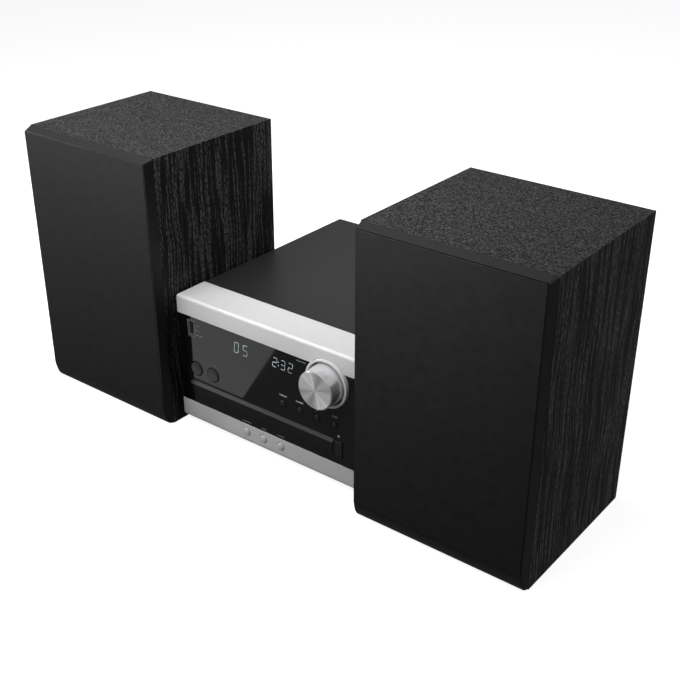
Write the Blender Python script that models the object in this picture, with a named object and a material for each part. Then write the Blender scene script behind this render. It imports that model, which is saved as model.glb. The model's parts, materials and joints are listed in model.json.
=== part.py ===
"""Mini hifi system: a CD receiver standing between two bass-reflex speakers.

World frame: metres, +Z up, the front of the set faces -Y and +X is to its right as seen from
the front. The origin is the bottom centre of the whole set. Every unit has its own empty; the
pieces of a unit are drawn in that unit's coordinates, from its left end, its front plane and
the surface it stands on.
"""
import math

import bmesh
import bpy
from mathutils import Matrix, Vector

MM = 0.001

# ---------------------------------------------------------------- driving sizes
GAP = 0.3 * MM                    # clearance between pieces that touch
SLIDE_GAP = 0.5 * MM              # clearance round buttons and other caps

MAIN_WIDTH = 183.8 * MM
MAIN_HEIGHT = 113.8 * MM
MAIN_DEPTH = 204.7 * MM
FOOT_HEIGHT = 5.0 * MM
FOOT_RADIUS = 8.5 * MM
FOOT_INSET = 17.0 * MM             # foot's middle from the receiver's end
FOOT_FRONT, FOOT_REAR = 20.0 * MM, 18.0 * MM   # from the front plane, and from the back
SHEET = 1.2 * MM                  # folded steel of cover, chassis and rear panel
MOULDING = 2.2 * MM               # wall of the silver front mouldings
SHELF_DEPTH = 30.64 * MM          # how far the silver mouldings run back
TOP_BAND = 15.2 * MM              # height of the silver band above the window
BOTTOM_BAND = 16.45 * MM          # height of the silver band below the window

SPEAKER_WIDTH = 139.5 * MM
SPEAKER_HEIGHT = 224.0 * MM
CABINET_DEPTH = 129.5 * MM
GRILLE_DEPTH = 8.4 * MM
BOARD_WALL = 9.0 * MM             # thickness of the cabinet's wood board
SPEAKER_SPACING = 3.4 * MM        # air between the receiver and each speaker
SPEAKER_FORWARD = {"left": 17.7 * MM, "right": 21.2 * MM}   # faces ahead of the receiver's

# window and front panel
WINDOW_FRONT = 0.6 * MM
WINDOW_THICKNESS = 2.3 * MM
WINDOW_INSET = 0.5 * MM           # window ends inside the receiver's ends
PANEL_WALL = 2.4 * MM
PANEL_SIDE_WALL = 2.2 * MM

# controls, measured from the receiver's left end and from the floor
KNOB_X, KNOB_Z = 149.2 * MM, 86.8 * MM
KNOB_BASE_RADIUS = 16.0 * MM
KNOB_TAPER = 0.9 * MM             # face radius is smaller by this
KNOB_WALL = 1.6 * MM
KNOB_PROUD = 14.3 * MM
KNOB_DEPTH = 15.3 * MM
KNOB_AIR = 0.9 * MM               # gap between knob and ring
RING_WIDTH = 2.1 * MM
RING_PROUD = 2.2 * MM
SHAFT_RADIUS = 3.0 * MM
BUSH_WALL = 1.3 * MM
ENCODER_SIZE = 13.0 * MM
LARGE_BUTTON_RADIUS = 5.9 * MM
LARGE_BUTTON_PROUD = 0.8 * MM      # of the window's face
LARGE_BUTTON_Z = 53.5 * MM
LARGE_BUTTON_X = {"power_button": 17.2 * MM, "selector_button": 34.8 * MM}
TRANSPORT_RADIUS = 2.5 * MM
TRANSPORT_PROUD = 0.7 * MM
TRANSPORT_X, TRANSPORT_PITCH, TRANSPORT_Z = 106.6 * MM, 16.4 * MM, 54.0 * MM
TRANSPORT_NAMES = ("previous_button", "next_button", "stop_button", "play_button")
BAND_BUTTON_RADIUS = 2.9 * MM
BAND_BUTTON_PROUD = 1.0 * MM       # of the silver band's face
BAND_BUTTON_X, BAND_BUTTON_PITCH, BAND_BUTTON_Z = 68.9 * MM, 17.25 * MM, 15.2 * MM
BAND_BUTTON_NAMES = ("sound_button", "bass_button", "source_button")
EJECT_X = (155.7 * MM, 162.8 * MM)
EJECT_Z = (28.2 * MM, 41.0 * MM)
EJECT_PROUD = 0.6 * MM
BUTTON_TRAVEL = 0.6 * MM
FLANGE_WIDTH = 1.2 * MM           # rim behind the panel that keeps a cap from falling out
FLANGE_THICKNESS = 1.0 * MM

# front circuit board
FRONT_BOARD_FRONT = 12.0 * MM
BOARD_THICKNESS = 1.6 * MM
SWITCH_HEIGHT = 4.0 * MM
SWITCH_SIZE = 6.0 * MM

# display and card of the USB socket
DISPLAY_X = (50.4 * MM, 127.6 * MM)
DISPLAY_Z = (77.4 * MM, 95.6 * MM)
USB_X, USB_Z = 13.8 * MM, 88.1 * MM
USB_SHELL = (5.8 * MM, 12.8 * MM)
USB_SHEET = 0.5 * MM
USB_TONGUE = (1.4 * MM, 9.6 * MM)
USB_TONGUE_SETBACK = 4.6 * MM

# disc tray
DOOR_X = (9.0 * MM, 153.6 * MM)
DOOR_Z = (29.4 * MM, 41.5 * MM)
DOOR_FRONT = 0.3 * MM
DOOR_LEDGE = 3.2 * MM             # height of the sloping band along the door's top
DOOR_DEPTH = 8.0 * MM             # back of the door behind the front plane
TRAY_RIM = 5.0 * MM               # beside the disc well
TRAY_LENGTH = 164.0 * MM
TRAY_BOTTOM = 32.5 * MM
TRAY_TOP = 38.6 * MM
DISC_Y = 78.0 * MM                # disc centre behind the front plane, tray closed
WELL_RADIUS = 61.0 * MM
WELL_DEPTH = 4.4 * MM
SMALL_WELL_RADIUS = 41.0 * MM
SMALL_WELL_DEPTH = 0.6 * MM
SLOT_HALF_WIDTH = 17.0 * MM
SLOT_LENGTH = 72.0 * MM           # from the disc centre towards the back
MODULE = 1.5 * MM                 # gear and rack tooth size
GEAR_TEETH = 14
BACKLASH = 0.14 * MM
GEAR_PIN = 1.8 * MM
RACK_INSET = 7.0 * MM             # rack bar from the tray's left edge
RACK_WIDTH = 3.0 * MM
RACK_DROP = 3.3 * MM
LOADING_GEAR_Y = 27.0 * MM
LOADING_MOTOR_OFFSET = (32.0 * MM, -1.0 * MM)   # from the gear
LOADING_MOTOR_RADIUS = 7.0 * MM

# disc mechanism
FRAME_WALL = 2.5 * MM
FRAME_FRONT = 18.0 * MM
FRAME_FLOOR = 12.0 * MM
FRAME_FLOOR_THICKNESS = 2.0 * MM
FRAME_TOP = 44.0 * MM
RUNNER_GAP = 1.5 * MM             # between the tray's edge and the frame's wall
RUNNER_WIDTH = 4.0 * MM
TRAVERSE_X = 33.3 * MM            # half width of the traverse plate
TRAVERSE_Y = (-38.0 * MM, 70.0 * MM)   # from the disc's centre
TRAVERSE_BOTTOM = 18.0 * MM
TRAVERSE_THICKNESS = 2.4 * MM
PLATTER_RADIUS = 15.0 * MM
SPINDLE_RADIUS = 1.1 * MM
PICKUP_REST = 28.0 * MM           # lens from the disc's centre, at its innermost
PICKUP_HALF_WIDTH = 20.5 * MM
PICKUP_Y = (9.0 * MM, 13.0 * MM)  # ahead of and behind the lens
PICKUP_HEIGHT = 7.0 * MM
PICKUP_CLEARANCE = 1.1 * MM       # over the traverse plate
ROD_RADIUS = 1.5 * MM
PUCK_NECK = 12.0 * MM
PUCK_RIM = 15.0 * MM
BRIDGE_WIDTH = 36.0 * MM
BRIDGE_SHEET = 1.5 * MM
MOTOR_FLOOR_AIR = 1.5 * MM        # spindle motor over the chassis
MOTOR_CAN = 11.0 * MM
MOTOR_CAP = 2.0 * MM
HUB_WALL = 2.0 * MM

# boards inside
SHELF_TOP = 51.2 * MM
MAIN_BOARD_BOTTOM = 56.0 * MM
REAR_SOCKET_Z = 78.0 * MM
ANTENNA_RADIUS = 4.7 * MM
ANTENNA_PROUD = 8.0 * MM
INLET = (24.0 * MM, 16.0 * MM)
INLET_X = 34.0 * MM
INLET_DEPTH = 18.0 * MM
SOCKET_BLOCK_INSET = 46.0 * MM    # from the receiver's right end

# speaker
FACE_SIDE_INSET = 2.04 * MM
FACE_TOP_INSET = 2.33 * MM
FACE_BOTTOM_INSET = 12.8 * MM
GRILLE_CORNER = 4.0 * MM
GRILLE_BORDER = 9.0 * MM
CLOTH_THICKNESS = 0.5 * MM
CLOTH_RIM = 1.0 * MM
WOOFER_Z = 118.0 * MM
CONE_EDGE = 45.2 * MM             # outer radius of the cone's foam surround
SURROUND_WIDTH = 7.7 * MM
SURROUND_ROLL = 2.4 * MM
CONE_PAPER = 0.8 * MM
BASKET_WALL = 0.4 * MM
BASKET_AIR = 0.6 * MM             # between the woofer's frame and the cabinet's hole
WOOFER_FLANGE = (5.5 * MM, 3.0 * MM)   # how far over the cabinet, and how thick
MAGNET_RADIUS = 33.0 * MM
MAGNET_Y = (27.0 * MM, 56.0 * MM)
COIL_RADIUS = 13.0 * MM
COIL_WALL = 0.8 * MM
COIL_GAP = 1.0 * MM               # from the coil's middle line to the magnet on either side
DUST_CAP = 6.5 * MM               # height of the dome over the coil
CONE_TRAVEL = 2.0 * MM
PORT_Z = 88.0 * MM
PORT_RADIUS = 16.0 * MM
PORT_LENGTH = 60.0 * MM
PORT_WALL = 2.0 * MM
PORT_FLARE = 4.0 * MM             # radius of the port's rounded mouth
PORT_PANEL = (66.0 * MM, 100.0 * MM)
PORT_PANEL_Z = 74.0 * MM
PORT_PANEL_CORNER = 5.0 * MM
PORT_RECESS = 2.5 * MM            # how deep the panel is let into the cabinet
SPEAKER_SOCKET_Z = 44.0 * MM
SOCKET = (14.0 * MM, 9.0 * MM)    # mouth of a two-pin speaker socket
SOCKET_DEPTH = 9.0 * MM
SOCKET_WALL = 1.6 * MM
PIN_RADIUS = 1.1 * MM
PIN_SPACING = 8.0 * MM
PEG_RADIUS = 2.5 * MM
PEG_LENGTH = 6.0 * MM
PEG_INSET = 5.5 * MM              # from the speaker's sides
PEG_LOW, PEG_HIGH = 30.0 * MM, 20.0 * MM   # from the bottom, and from the top

# ---------------------------------------------------------------- derived places
KNOB_FACE_RADIUS = KNOB_BASE_RADIUS - KNOB_TAPER
RING_BORE = KNOB_BASE_RADIUS + KNOB_AIR
RING_RADIUS = RING_BORE + RING_WIDTH
BUSH_RADIUS = SHAFT_RADIUS + GAP + BUSH_WALL
BAND_TOP_Z = MAIN_HEIGHT - TOP_BAND                 # lower edge of the silver top band
BAND_BOTTOM_Z = FOOT_HEIGHT + BOTTOM_BAND           # upper edge of the silver bottom band
WINDOW_BACK = WINDOW_FRONT + WINDOW_THICKNESS
PANEL_FRONT = WINDOW_BACK + GAP
PANEL_BACK = PANEL_FRONT + PANEL_WALL
SWITCH_FRONT = FRONT_BOARD_FRONT - SWITCH_HEIGHT
TRAY_FRONT = DOOR_DEPTH + GAP
TRAY_WIDTH = 2 * (WELL_RADIUS + TRAY_RIM)
TRAY_X = (DOOR_X[0] + DOOR_X[1]) / 2
TRAY_LEFT, TRAY_RIGHT = TRAY_X - TRAY_WIDTH / 2, TRAY_X + TRAY_WIDTH / 2
TRAY_BACK = TRAY_FRONT + TRAY_LENGTH
WELL_FLOOR = TRAY_TOP - WELL_DEPTH
TRAVERSE_TOP = TRAVERSE_BOTTOM + TRAVERSE_THICKNESS
PICKUP_BOTTOM = TRAVERSE_TOP + PICKUP_CLEARANCE
FRAME_LEFT = TRAY_LEFT - RUNNER_GAP - FRAME_WALL
FRAME_RIGHT = TRAY_RIGHT + RUNNER_GAP + FRAME_WALL
FRAME_BACK = TRAY_BACK + 2 * GAP + FRAME_WALL
FRAME_FLOOR_TOP = FRAME_FLOOR + FRAME_FLOOR_THICKNESS
COVER_FRONT = SHELF_DEPTH + GAP
REAR_FRONT = MAIN_DEPTH - SHEET
CHASSIS_TOP = FOOT_HEIGHT + SHEET
BOARD_TOP = MAIN_BOARD_BOTTOM + BOARD_THICKNESS
SPEAKER_DEPTH = GRILLE_DEPTH + CABINET_DEPTH
WOOFER_X = SPEAKER_WIDTH / 2
WOOFER_THROAT = CONE_EDGE + GAP
WOOFER_BASKET = WOOFER_THROAT + BASKET_WALL
WOOFER_HOLE = WOOFER_BASKET + BASKET_AIR
WOOFER_RADIUS = WOOFER_HOLE + WOOFER_FLANGE[0]
GEAR_RADIUS = MODULE * GEAR_TEETH / 2
GEAR_X = TRAY_LEFT + RACK_INSET + RACK_WIDTH + GEAR_RADIUS

SET_BACK = MAIN_DEPTH + ANTENNA_PROUD
SET_FRONT = -max(SPEAKER_FORWARD.values())
MAIN_ORIGIN = Vector((-MAIN_WIDTH / 2, -(SET_BACK + SET_FRONT) / 2, 0.0))

# name: colour (sRGB hex), roughness, metallic
MATERIALS = {
    "silver_paint": ("C3C4C6", 0.35, 0.70),
    "spun_aluminium": ("CFD0D2", 0.25, 1.0),
    "black_acrylic": ("0E0F10", 0.08, 0.0),
    "black_moulding": ("1B1B1C", 0.45, 0.0),
    "black_steel": ("2A2A2B", 0.50, 0.30),
    "bare_steel": ("A9ABAD", 0.40, 1.0),
    "black_rubber": ("161616", 0.80, 0.0),
    "circuit_board": ("2F5A3A", 0.50, 0.0),
    "display_glass": ("10181C", 0.20, 0.0),
    "copper_winding": ("B5703A", 0.45, 0.90),
    "white_moulding": ("D8D6CF", 0.45, 0.0),
    "speaker_board": ("1D1C1B", 0.60, 0.0),
    "grille_cloth": ("262626", 0.90, 0.0),
    "cone_paper": ("222222", 0.75, 0.0),
}


# ---------------------------------------------------------------- modelling helpers
def colour(hex_code):
    """sRGB hex code to linear RGBA."""
    channels = [int(hex_code[i:i + 2], 16) / 255 for i in (0, 2, 4)]
    return [c / 12.92 if c <= 0.04045 else ((c + 0.055) / 1.055) ** 2.4 for c in channels] + [1.0]


def finish(node, kind):
    """Give an object its own material."""
    hex_code, roughness, metallic = MATERIALS[kind]
    material = bpy.data.materials.new(f"{node.name}_{kind}")
    material.use_nodes = True
    shader = material.node_tree.nodes["Principled BSDF"]
    shader.inputs["Base Color"].default_value = colour(hex_code)
    shader.inputs["Roughness"].default_value = roughness
    shader.inputs["Metallic"].default_value = metallic
    node.data.materials.append(material)


# each axis: the two directions across it, then the axis itself
AXES = {
    "X": (Vector((0, 1, 0)), Vector((0, 0, 1)), Vector((1, 0, 0))),
    "Y": (Vector((1, 0, 0)), Vector((0, 0, 1)), Vector((0, 1, 0))),
    "Z": (Vector((1, 0, 0)), Vector((0, 1, 0)), Vector((0, 0, 1))),
}


def loft(rings, closed=False):
    """Solid through rings of points; a one-point ring is a tip, closed joins last to first."""
    shape = bmesh.new()
    loops = [[shape.verts.new(point) for point in ring] for ring in rings]
    pairs = list(zip(loops, loops[1:]))
    if closed:
        pairs.append((loops[-1], loops[0]))
    for one, two in pairs:
        for i in range(max(len(one), len(two))):
            corners = (one[i % len(one)], one[(i + 1) % len(one)],
                       two[(i + 1) % len(two)], two[i % len(two)])
            shape.faces.new(list(dict.fromkeys(corners)))
    if not closed:
        for loop in (loops[0], loops[-1]):
            if len(loop) > 2:
                shape.faces.new(loop)
    bmesh.ops.recalc_face_normals(shape, faces=shape.faces)
    return shape


def prism(outline, axis, span):
    """Extrude an outline of (across, up) points along an axis."""
    across, up, along = AXES[axis]
    return loft([[across * u + up * v + along * t for u, v in outline] for t in span])


def box(x, y, z):
    """Block from its three (low, high) spans."""
    return prism([(x[0], y[0]), (x[1], y[0]), (x[1], y[1]), (x[0], y[1])], "Z", z)


def turned(profile, axis, centre, segments=24):
    """Turn (radius, place along the axis) points; off-axis profiles close into a ring."""
    across, up, along = AXES[axis]
    rings = []
    for radius, place in profile:
        middle = Vector(centre) + along * place
        if radius == 0:
            rings.append([middle])
            continue
        turns = [2 * math.pi * i / segments for i in range(segments)]
        rings.append([middle + (across * math.cos(a) + up * math.sin(a)) * radius for a in turns])
    return loft(rings, closed=all(radius > 0 for radius, place in profile))


def rod(axis, centre, radius, span, segments=24):
    """Cylinder along an axis through centre."""
    return turned([(0, span[0]), (radius, span[0]), (radius, span[1]), (0, span[1])],
                  axis, centre, segments)


def rounded(x, z, radius, steps=3):
    """Outline of a rectangle with round corners."""
    corners = ((x[1] - radius, z[0] + radius, -90), (x[1] - radius, z[1] - radius, 0),
               (x[0] + radius, z[1] - radius, 90), (x[0] + radius, z[0] + radius, 180))
    points = []
    for cx, cz, start in corners:
        for i in range(steps + 1):
            a = math.radians(start + 90 * i / steps)
            points.append((cx + radius * math.cos(a), cz + radius * math.sin(a)))
    return points


def bevelled(shape, width, segments, wanted):
    """Round the edges whose midpoint and direction wanted() accepts."""
    edges = [e for e in shape.edges
             if wanted((e.verts[0].co + e.verts[1].co) / 2, (e.verts[1].co - e.verts[0].co).normalized())]
    bmesh.ops.bevel(shape, geom=edges, offset=width, segments=segments, affect="EDGES", profile=0.5)
    return shape


def mesh_of(name, shapes, origin):
    """One mesh from shapes, measured from origin."""
    together = bmesh.new()
    for shape in shapes:
        part = bpy.data.meshes.new("part")
        shape.to_mesh(part)
        shape.free()
        together.from_mesh(part)
        bpy.data.meshes.remove(part)
    together.transform(Matrix.Translation(-Vector(origin)))
    mesh = bpy.data.meshes.new(name)
    together.to_mesh(mesh)
    together.free()
    return mesh


def piece(name, kind, unit, shape, origin=(0, 0, 0), smooth=False):
    """A sub-part of a unit, with its own material and its origin where it is asked."""
    node = bpy.data.objects.new(name, mesh_of(name, [shape], origin))
    node.parent = unit
    node.location = origin
    bpy.context.scene.collection.objects.link(node)
    if smooth:
        node.data.shade_smooth()
        node.data.set_sharp_from_angle(angle=math.radians(35))
    finish(node, kind)
    return node


def operate(node, operation, shapes):
    """Boolean between a piece and the shapes, which stay as hidden guides."""
    guide = bpy.data.objects.new(f"{node.name}_guide", mesh_of("guide", shapes, (0, 0, 0)))
    guide.parent = node.parent
    guide.hide_render = True
    guide.display_type = "WIRE"
    bpy.context.scene.collection.objects.link(guide)
    boolean = node.modifiers.new(operation.lower(), "BOOLEAN")
    boolean.operation = operation
    boolean.solver = "EXACT"
    boolean.object = guide


def cut(node, *shapes):
    """Take the shapes, which don't overlap each other, out of a piece."""
    operate(node, "DIFFERENCE", shapes)


def join(node, *shapes):
    """Each shape may overlap the next, so they are joined one after another."""
    for shape in shapes:
        operate(node, "UNION", [shape])


def unit_empty(name, location):
    """Empty that the pieces of one unit hang on."""
    empty = bpy.data.objects.new(name, None)
    empty.location = location
    bpy.context.scene.collection.objects.link(empty)
    return empty


def grown(span, margin):
    """(low, high) widened by a margin at both ends."""
    return span[0] - margin, span[1] + margin


def around(middle, size):
    """(low, high) of a size about its middle."""
    return middle - size / 2, middle + size / 2


# ---------------------------------------------------------------- receiver: front
def control_places():
    """Round push buttons: name, x, z, cap radius, how far the cap stands ahead of its panel."""
    places = [(name, x, LARGE_BUTTON_Z, LARGE_BUTTON_RADIUS, LARGE_BUTTON_PROUD)
              for name, x in LARGE_BUTTON_X.items()]
    places += [(name, TRANSPORT_X + i * TRANSPORT_PITCH, TRANSPORT_Z, TRANSPORT_RADIUS, TRANSPORT_PROUD)
               for i, name in enumerate(TRANSPORT_NAMES)]
    return places


def band_places():
    """The same for the three small buttons of the silver band."""
    return [(name, BAND_BUTTON_X + i * BAND_BUTTON_PITCH, BAND_BUTTON_Z, BAND_BUTTON_RADIUS,
             BAND_BUTTON_PROUD) for i, name in enumerate(BAND_BUTTON_NAMES)]


def round_sides(radius):
    """Sides of a round button or hole: fewer where it is small."""
    return 20 if radius > 4 * MM else 14


def button_holes(places, span):
    """Clearance holes round the push buttons."""
    return [rod("Y", (x, 0, z), radius + SLIDE_GAP, span, round_sides(radius))
            for name, x, z, radius, proud in places]


def top_trim(unit):
    """Silver band over the window: front, top and both ends in one moulding."""
    shape = box((0, MAIN_WIDTH), (0, SHELF_DEPTH), (BAND_TOP_Z, MAIN_HEIGHT))
    shape = bevelled(shape, 2.6 * MM, 4,
                     lambda at, way: abs(way.x) > 0.9 and at.y < GAP and at.z > MAIN_HEIGHT - GAP)
    shape = bevelled(shape, 1.2 * MM, 2,
                     lambda at, way: abs(way.y) > 0.9 and at.z > MAIN_HEIGHT - GAP)
    trim = piece("top_trim", "silver_paint", unit, shape)
    cut(trim, box(grown((0, MAIN_WIDTH), -MOULDING), (MOULDING, SHELF_DEPTH + MOULDING),
                  (BAND_TOP_Z - MOULDING, MAIN_HEIGHT - MOULDING)))
    cut(trim, rod("Y", (KNOB_X, 0, KNOB_Z), RING_RADIUS + GAP, (-MOULDING, 2 * MOULDING), 36))


def bottom_trim(unit):
    """Silver band under the window, with a round lower edge and the three small buttons' holes."""
    shape = box((0, MAIN_WIDTH), (0, SHELF_DEPTH), (FOOT_HEIGHT, BAND_BOTTOM_Z))
    shape = bevelled(shape, 3.5 * MM, 4,
                     lambda at, way: at.z < FOOT_HEIGHT + GAP and (
                         (abs(way.x) > 0.9 and at.y < GAP) or abs(way.y) > 0.9))
    trim = piece("bottom_trim", "silver_paint", unit, shape)
    cut(trim, box(grown((0, MAIN_WIDTH), -MOULDING), (MOULDING, SHELF_DEPTH + MOULDING),
                  (FOOT_HEIGHT + MOULDING, BAND_BOTTOM_Z + MOULDING)))
    cut(trim, *button_holes(band_places(), (-MOULDING, 2 * MOULDING)))


def front_openings(span):
    """Holes that the window and the panel behind it share."""
    holes = button_holes(control_places(), span)
    holes.append(box(grown((DOOR_X[0], DOOR_X[1]), SLIDE_GAP), span, grown(DOOR_Z, SLIDE_GAP)))
    holes.append(box(grown(EJECT_X, SLIDE_GAP), span, grown(EJECT_Z, SLIDE_GAP)))
    holes.append(box(grown(around(USB_X, USB_SHELL[0]), GAP), span,
                     grown(around(USB_Z, USB_SHELL[1]), GAP)))
    return holes


def display_window(unit):
    """Glossy sheet across the front, notched where the knob's ring stands through it."""
    window = piece("display_window", "black_acrylic", unit,
                   box(grown((0, MAIN_WIDTH), -WINDOW_INSET), (WINDOW_FRONT, WINDOW_BACK),
                       (BAND_BOTTOM_Z + GAP, BAND_TOP_Z - GAP)))
    cut(window, *front_openings((-SHEET, PANEL_FRONT)))
    cut(window, rod("Y", (KNOB_X, 0, KNOB_Z), RING_RADIUS + GAP, (-SHEET, PANEL_FRONT), 36))


def front_panel(unit):
    """Black carrier moulding: front wall behind window and bands, side walls, board bosses."""
    inside = grown((0, MAIN_WIDTH), -(MOULDING + GAP))
    middle = (BAND_BOTTOM_Z + GAP, BAND_TOP_Z - GAP)
    low, high = FOOT_HEIGHT + MOULDING + GAP, MAIN_HEIGHT - MOULDING - GAP
    panel = piece("front_panel", "black_moulding", unit, box(inside, (PANEL_FRONT, PANEL_BACK), (low, high)))
    overlap = PANEL_SIDE_WALL + MOULDING
    join(panel,
         box((0, overlap), (PANEL_FRONT, PANEL_BACK), middle),
         box((MAIN_WIDTH - overlap, MAIN_WIDTH), (PANEL_FRONT, PANEL_BACK), middle),
         box((0, PANEL_SIDE_WALL), (PANEL_FRONT, SHELF_DEPTH), middle),
         box((MAIN_WIDTH - PANEL_SIDE_WALL, MAIN_WIDTH), (PANEL_FRONT, SHELF_DEPTH), middle))
    for x, z in front_board_fixings():
        join(panel, rod("Y", (x, 0, z), 2.4 * MM, (PANEL_BACK - GAP, FRONT_BOARD_FRONT - GAP), 16))
    span = (WINDOW_FRONT, PANEL_BACK + MOULDING)
    cut(panel, *front_openings(span))
    cut(panel, *button_holes(band_places(), span))
    cut(panel, box(grown(DISPLAY_X, GAP), span, grown(DISPLAY_Z, GAP)))
    cut(panel, rod("Y", (KNOB_X, 0, KNOB_Z), BUSH_RADIUS + GAP, span))


def front_board_fixings():
    """Bosses of the front panel that the front board is screwed to."""
    edge = 9.0 * MM
    return ((edge, 102 * MM), (MAIN_WIDTH - edge, 104 * MM), (76 * MM, 62 * MM), (MAIN_WIDTH - edge, 13 * MM))


def knob_ring(unit):
    """Silver collar that stands on the panel round the knob."""
    chamfer = 0.6 * MM
    profile = [(RING_RADIUS, WINDOW_BACK), (RING_RADIUS, -RING_PROUD + chamfer),
               (RING_RADIUS - chamfer, -RING_PROUD), (RING_BORE + chamfer, -RING_PROUD),
               (RING_BORE, -RING_PROUD + chamfer), (RING_BORE, WINDOW_BACK)]
    piece("knob_ring", "silver_paint", unit, turned(profile, "Y", (KNOB_X, 0, KNOB_Z), 36), smooth=True)


def volume_control(unit):
    """Knob, its shaft, and the rotary encoder that carries the shaft in its bush."""
    at = (KNOB_X, 0, KNOB_Z)
    face, back = -KNOB_PROUD, KNOB_DEPTH - KNOB_PROUD
    shell, crown, edge = KNOB_WALL, 2.0 * MM, 0.5 * MM
    hub = BUSH_RADIUS + 0.6 * MM
    profile = [(0, face), (KNOB_FACE_RADIUS - edge, face), (KNOB_FACE_RADIUS, face + edge),
               (KNOB_BASE_RADIUS, back), (KNOB_BASE_RADIUS - shell, back),
               (KNOB_FACE_RADIUS - shell, face + crown), (hub, face + crown), (hub, back),
               (SHAFT_RADIUS + GAP, back), (SHAFT_RADIUS + GAP, face + 2 * crown), (0, face + 2 * crown)]
    piece("volume_knob", "spun_aluminium", unit, turned(profile, "Y", at, 36), at, smooth=True)

    bush_front = back + 2 * GAP
    shaft_back = FRONT_BOARD_FRONT - 2.0 * MM
    shaft = [(0, face + 2 * crown + GAP), (SHAFT_RADIUS, face + 2 * crown + GAP),
             (SHAFT_RADIUS, shaft_back), (0, shaft_back)]
    piece("encoder_shaft", "bare_steel", unit, turned(shaft, "Y", at), at, smooth=True)

    body_front = PANEL_BACK + 2 * GAP
    encoder = piece("volume_encoder", "bare_steel", unit,
                    box(around(KNOB_X, ENCODER_SIZE), (body_front, FRONT_BOARD_FRONT - GAP),
                        around(KNOB_Z, ENCODER_SIZE)))
    join(encoder, rod("Y", at, BUSH_RADIUS, (bush_front, body_front + MOULDING)))
    cut(encoder, rod("Y", at, SHAFT_RADIUS + GAP, (bush_front - MOULDING, shaft_back + GAP)))


def push_button(unit, name, kind, x, z, radius, front):
    """Round cap with a retaining rim behind the panel and a short stem over its switch."""
    rim = PANEL_BACK + GAP
    end = SWITCH_FRONT - BUTTON_TRAVEL - GAP
    edge = 0.4 * MM
    profile = [(0, front), (radius - edge, front), (radius, front + edge), (radius, rim),
               (radius + FLANGE_WIDTH, rim), (radius + FLANGE_WIDTH, rim + FLANGE_THICKNESS),
               (radius / 2, rim + FLANGE_THICKNESS), (radius / 2, end), (0, end)]
    at = (x, 0, z)
    piece(name, kind, unit, turned(profile, "Y", at, round_sides(radius)), at,
          smooth=True)


def push_buttons(unit):
    """The nine round caps and the upright eject cap."""
    for name, x, z, radius, proud in control_places():
        push_button(unit, name, "black_moulding", x, z, radius, WINDOW_FRONT - proud)
    for name, x, z, radius, proud in band_places():
        push_button(unit, name, "silver_paint", x, z, radius, -proud)
    middle = (sum(EJECT_X) / 2, 0, sum(EJECT_Z) / 2)
    rim = PANEL_BACK + GAP
    cap = bevelled(box(EJECT_X, (WINDOW_FRONT - EJECT_PROUD, rim + FLANGE_THICKNESS), EJECT_Z), 0.5 * MM, 2,
                   lambda at, way: at.y < WINDOW_FRONT)
    button = piece("eject_button", "black_moulding", unit, cap, middle)
    rim_width = FLANGE_WIDTH / 2
    join(button, box(grown(EJECT_X, rim_width), (rim, rim + FLANGE_THICKNESS), grown(EJECT_Z, rim_width)),
         rod("Y", middle, 2 * MM, (rim, SWITCH_FRONT - BUTTON_TRAVEL - GAP), 16))


def front_board(unit):
    """Circuit board behind the panel: a C round the tray's path, with a switch at each button."""
    edge = 6.0 * MM
    left, right = edge, MAIN_WIDTH - edge
    low, high = FOOT_HEIGHT + 2 * MOULDING, MAIN_HEIGHT - 2 * MOULDING
    tray_right = DOOR_X[1] + 2 * SLIDE_GAP
    over, under = DOOR_Z[1] + 4.0 * MM, DOOR_Z[0] - 3.0 * MM
    arm = BAND_BUTTON_X - 2 * SWITCH_SIZE
    outline = [(arm, low), (right, low), (right, high), (left, high), (left, over),
               (tray_right, over), (tray_right, under), (arm, under)]
    board = piece("front_board", "circuit_board", unit,
                  prism(outline, "Y", (FRONT_BOARD_FRONT, FRONT_BOARD_FRONT + BOARD_THICKNESS)))
    places = [(x, z) for name, x, z, radius, proud in control_places() + band_places()]
    places.append((sum(EJECT_X) / 2, sum(EJECT_Z) / 2))
    for x, z in places:
        join(board, box(around(x, SWITCH_SIZE), (SWITCH_FRONT, FRONT_BOARD_FRONT + BOARD_THICKNESS / 2),
                        around(z, SWITCH_SIZE)))


def display_module(unit):
    """Display: glass in the panel's opening, on a wider holder that the front board carries."""
    piece("display_module", "display_glass", unit,
          box(DISPLAY_X, (PANEL_FRONT + GAP, FRONT_BOARD_FRONT - GAP), DISPLAY_Z))


def usb_socket(unit):
    """Upright socket: folded metal shell with a flat tongue set back from its mouth."""
    x, z = around(USB_X, USB_SHELL[0]), around(USB_Z, USB_SHELL[1])
    front, back = WINDOW_FRONT + GAP, FRONT_BOARD_FRONT - GAP
    socket = piece("usb_socket", "bare_steel", unit, box(x, (front, back), z))
    inner_back = back - 1.0 * MM
    cut(socket, box(grown(x, -USB_SHEET), (front - SHEET, inner_back), grown(z, -USB_SHEET)))
    join(socket, box(around(USB_X, USB_TONGUE[0]), (front + USB_TONGUE_SETBACK, inner_back + GAP),
                     around(USB_Z, USB_TONGUE[1])))


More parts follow.
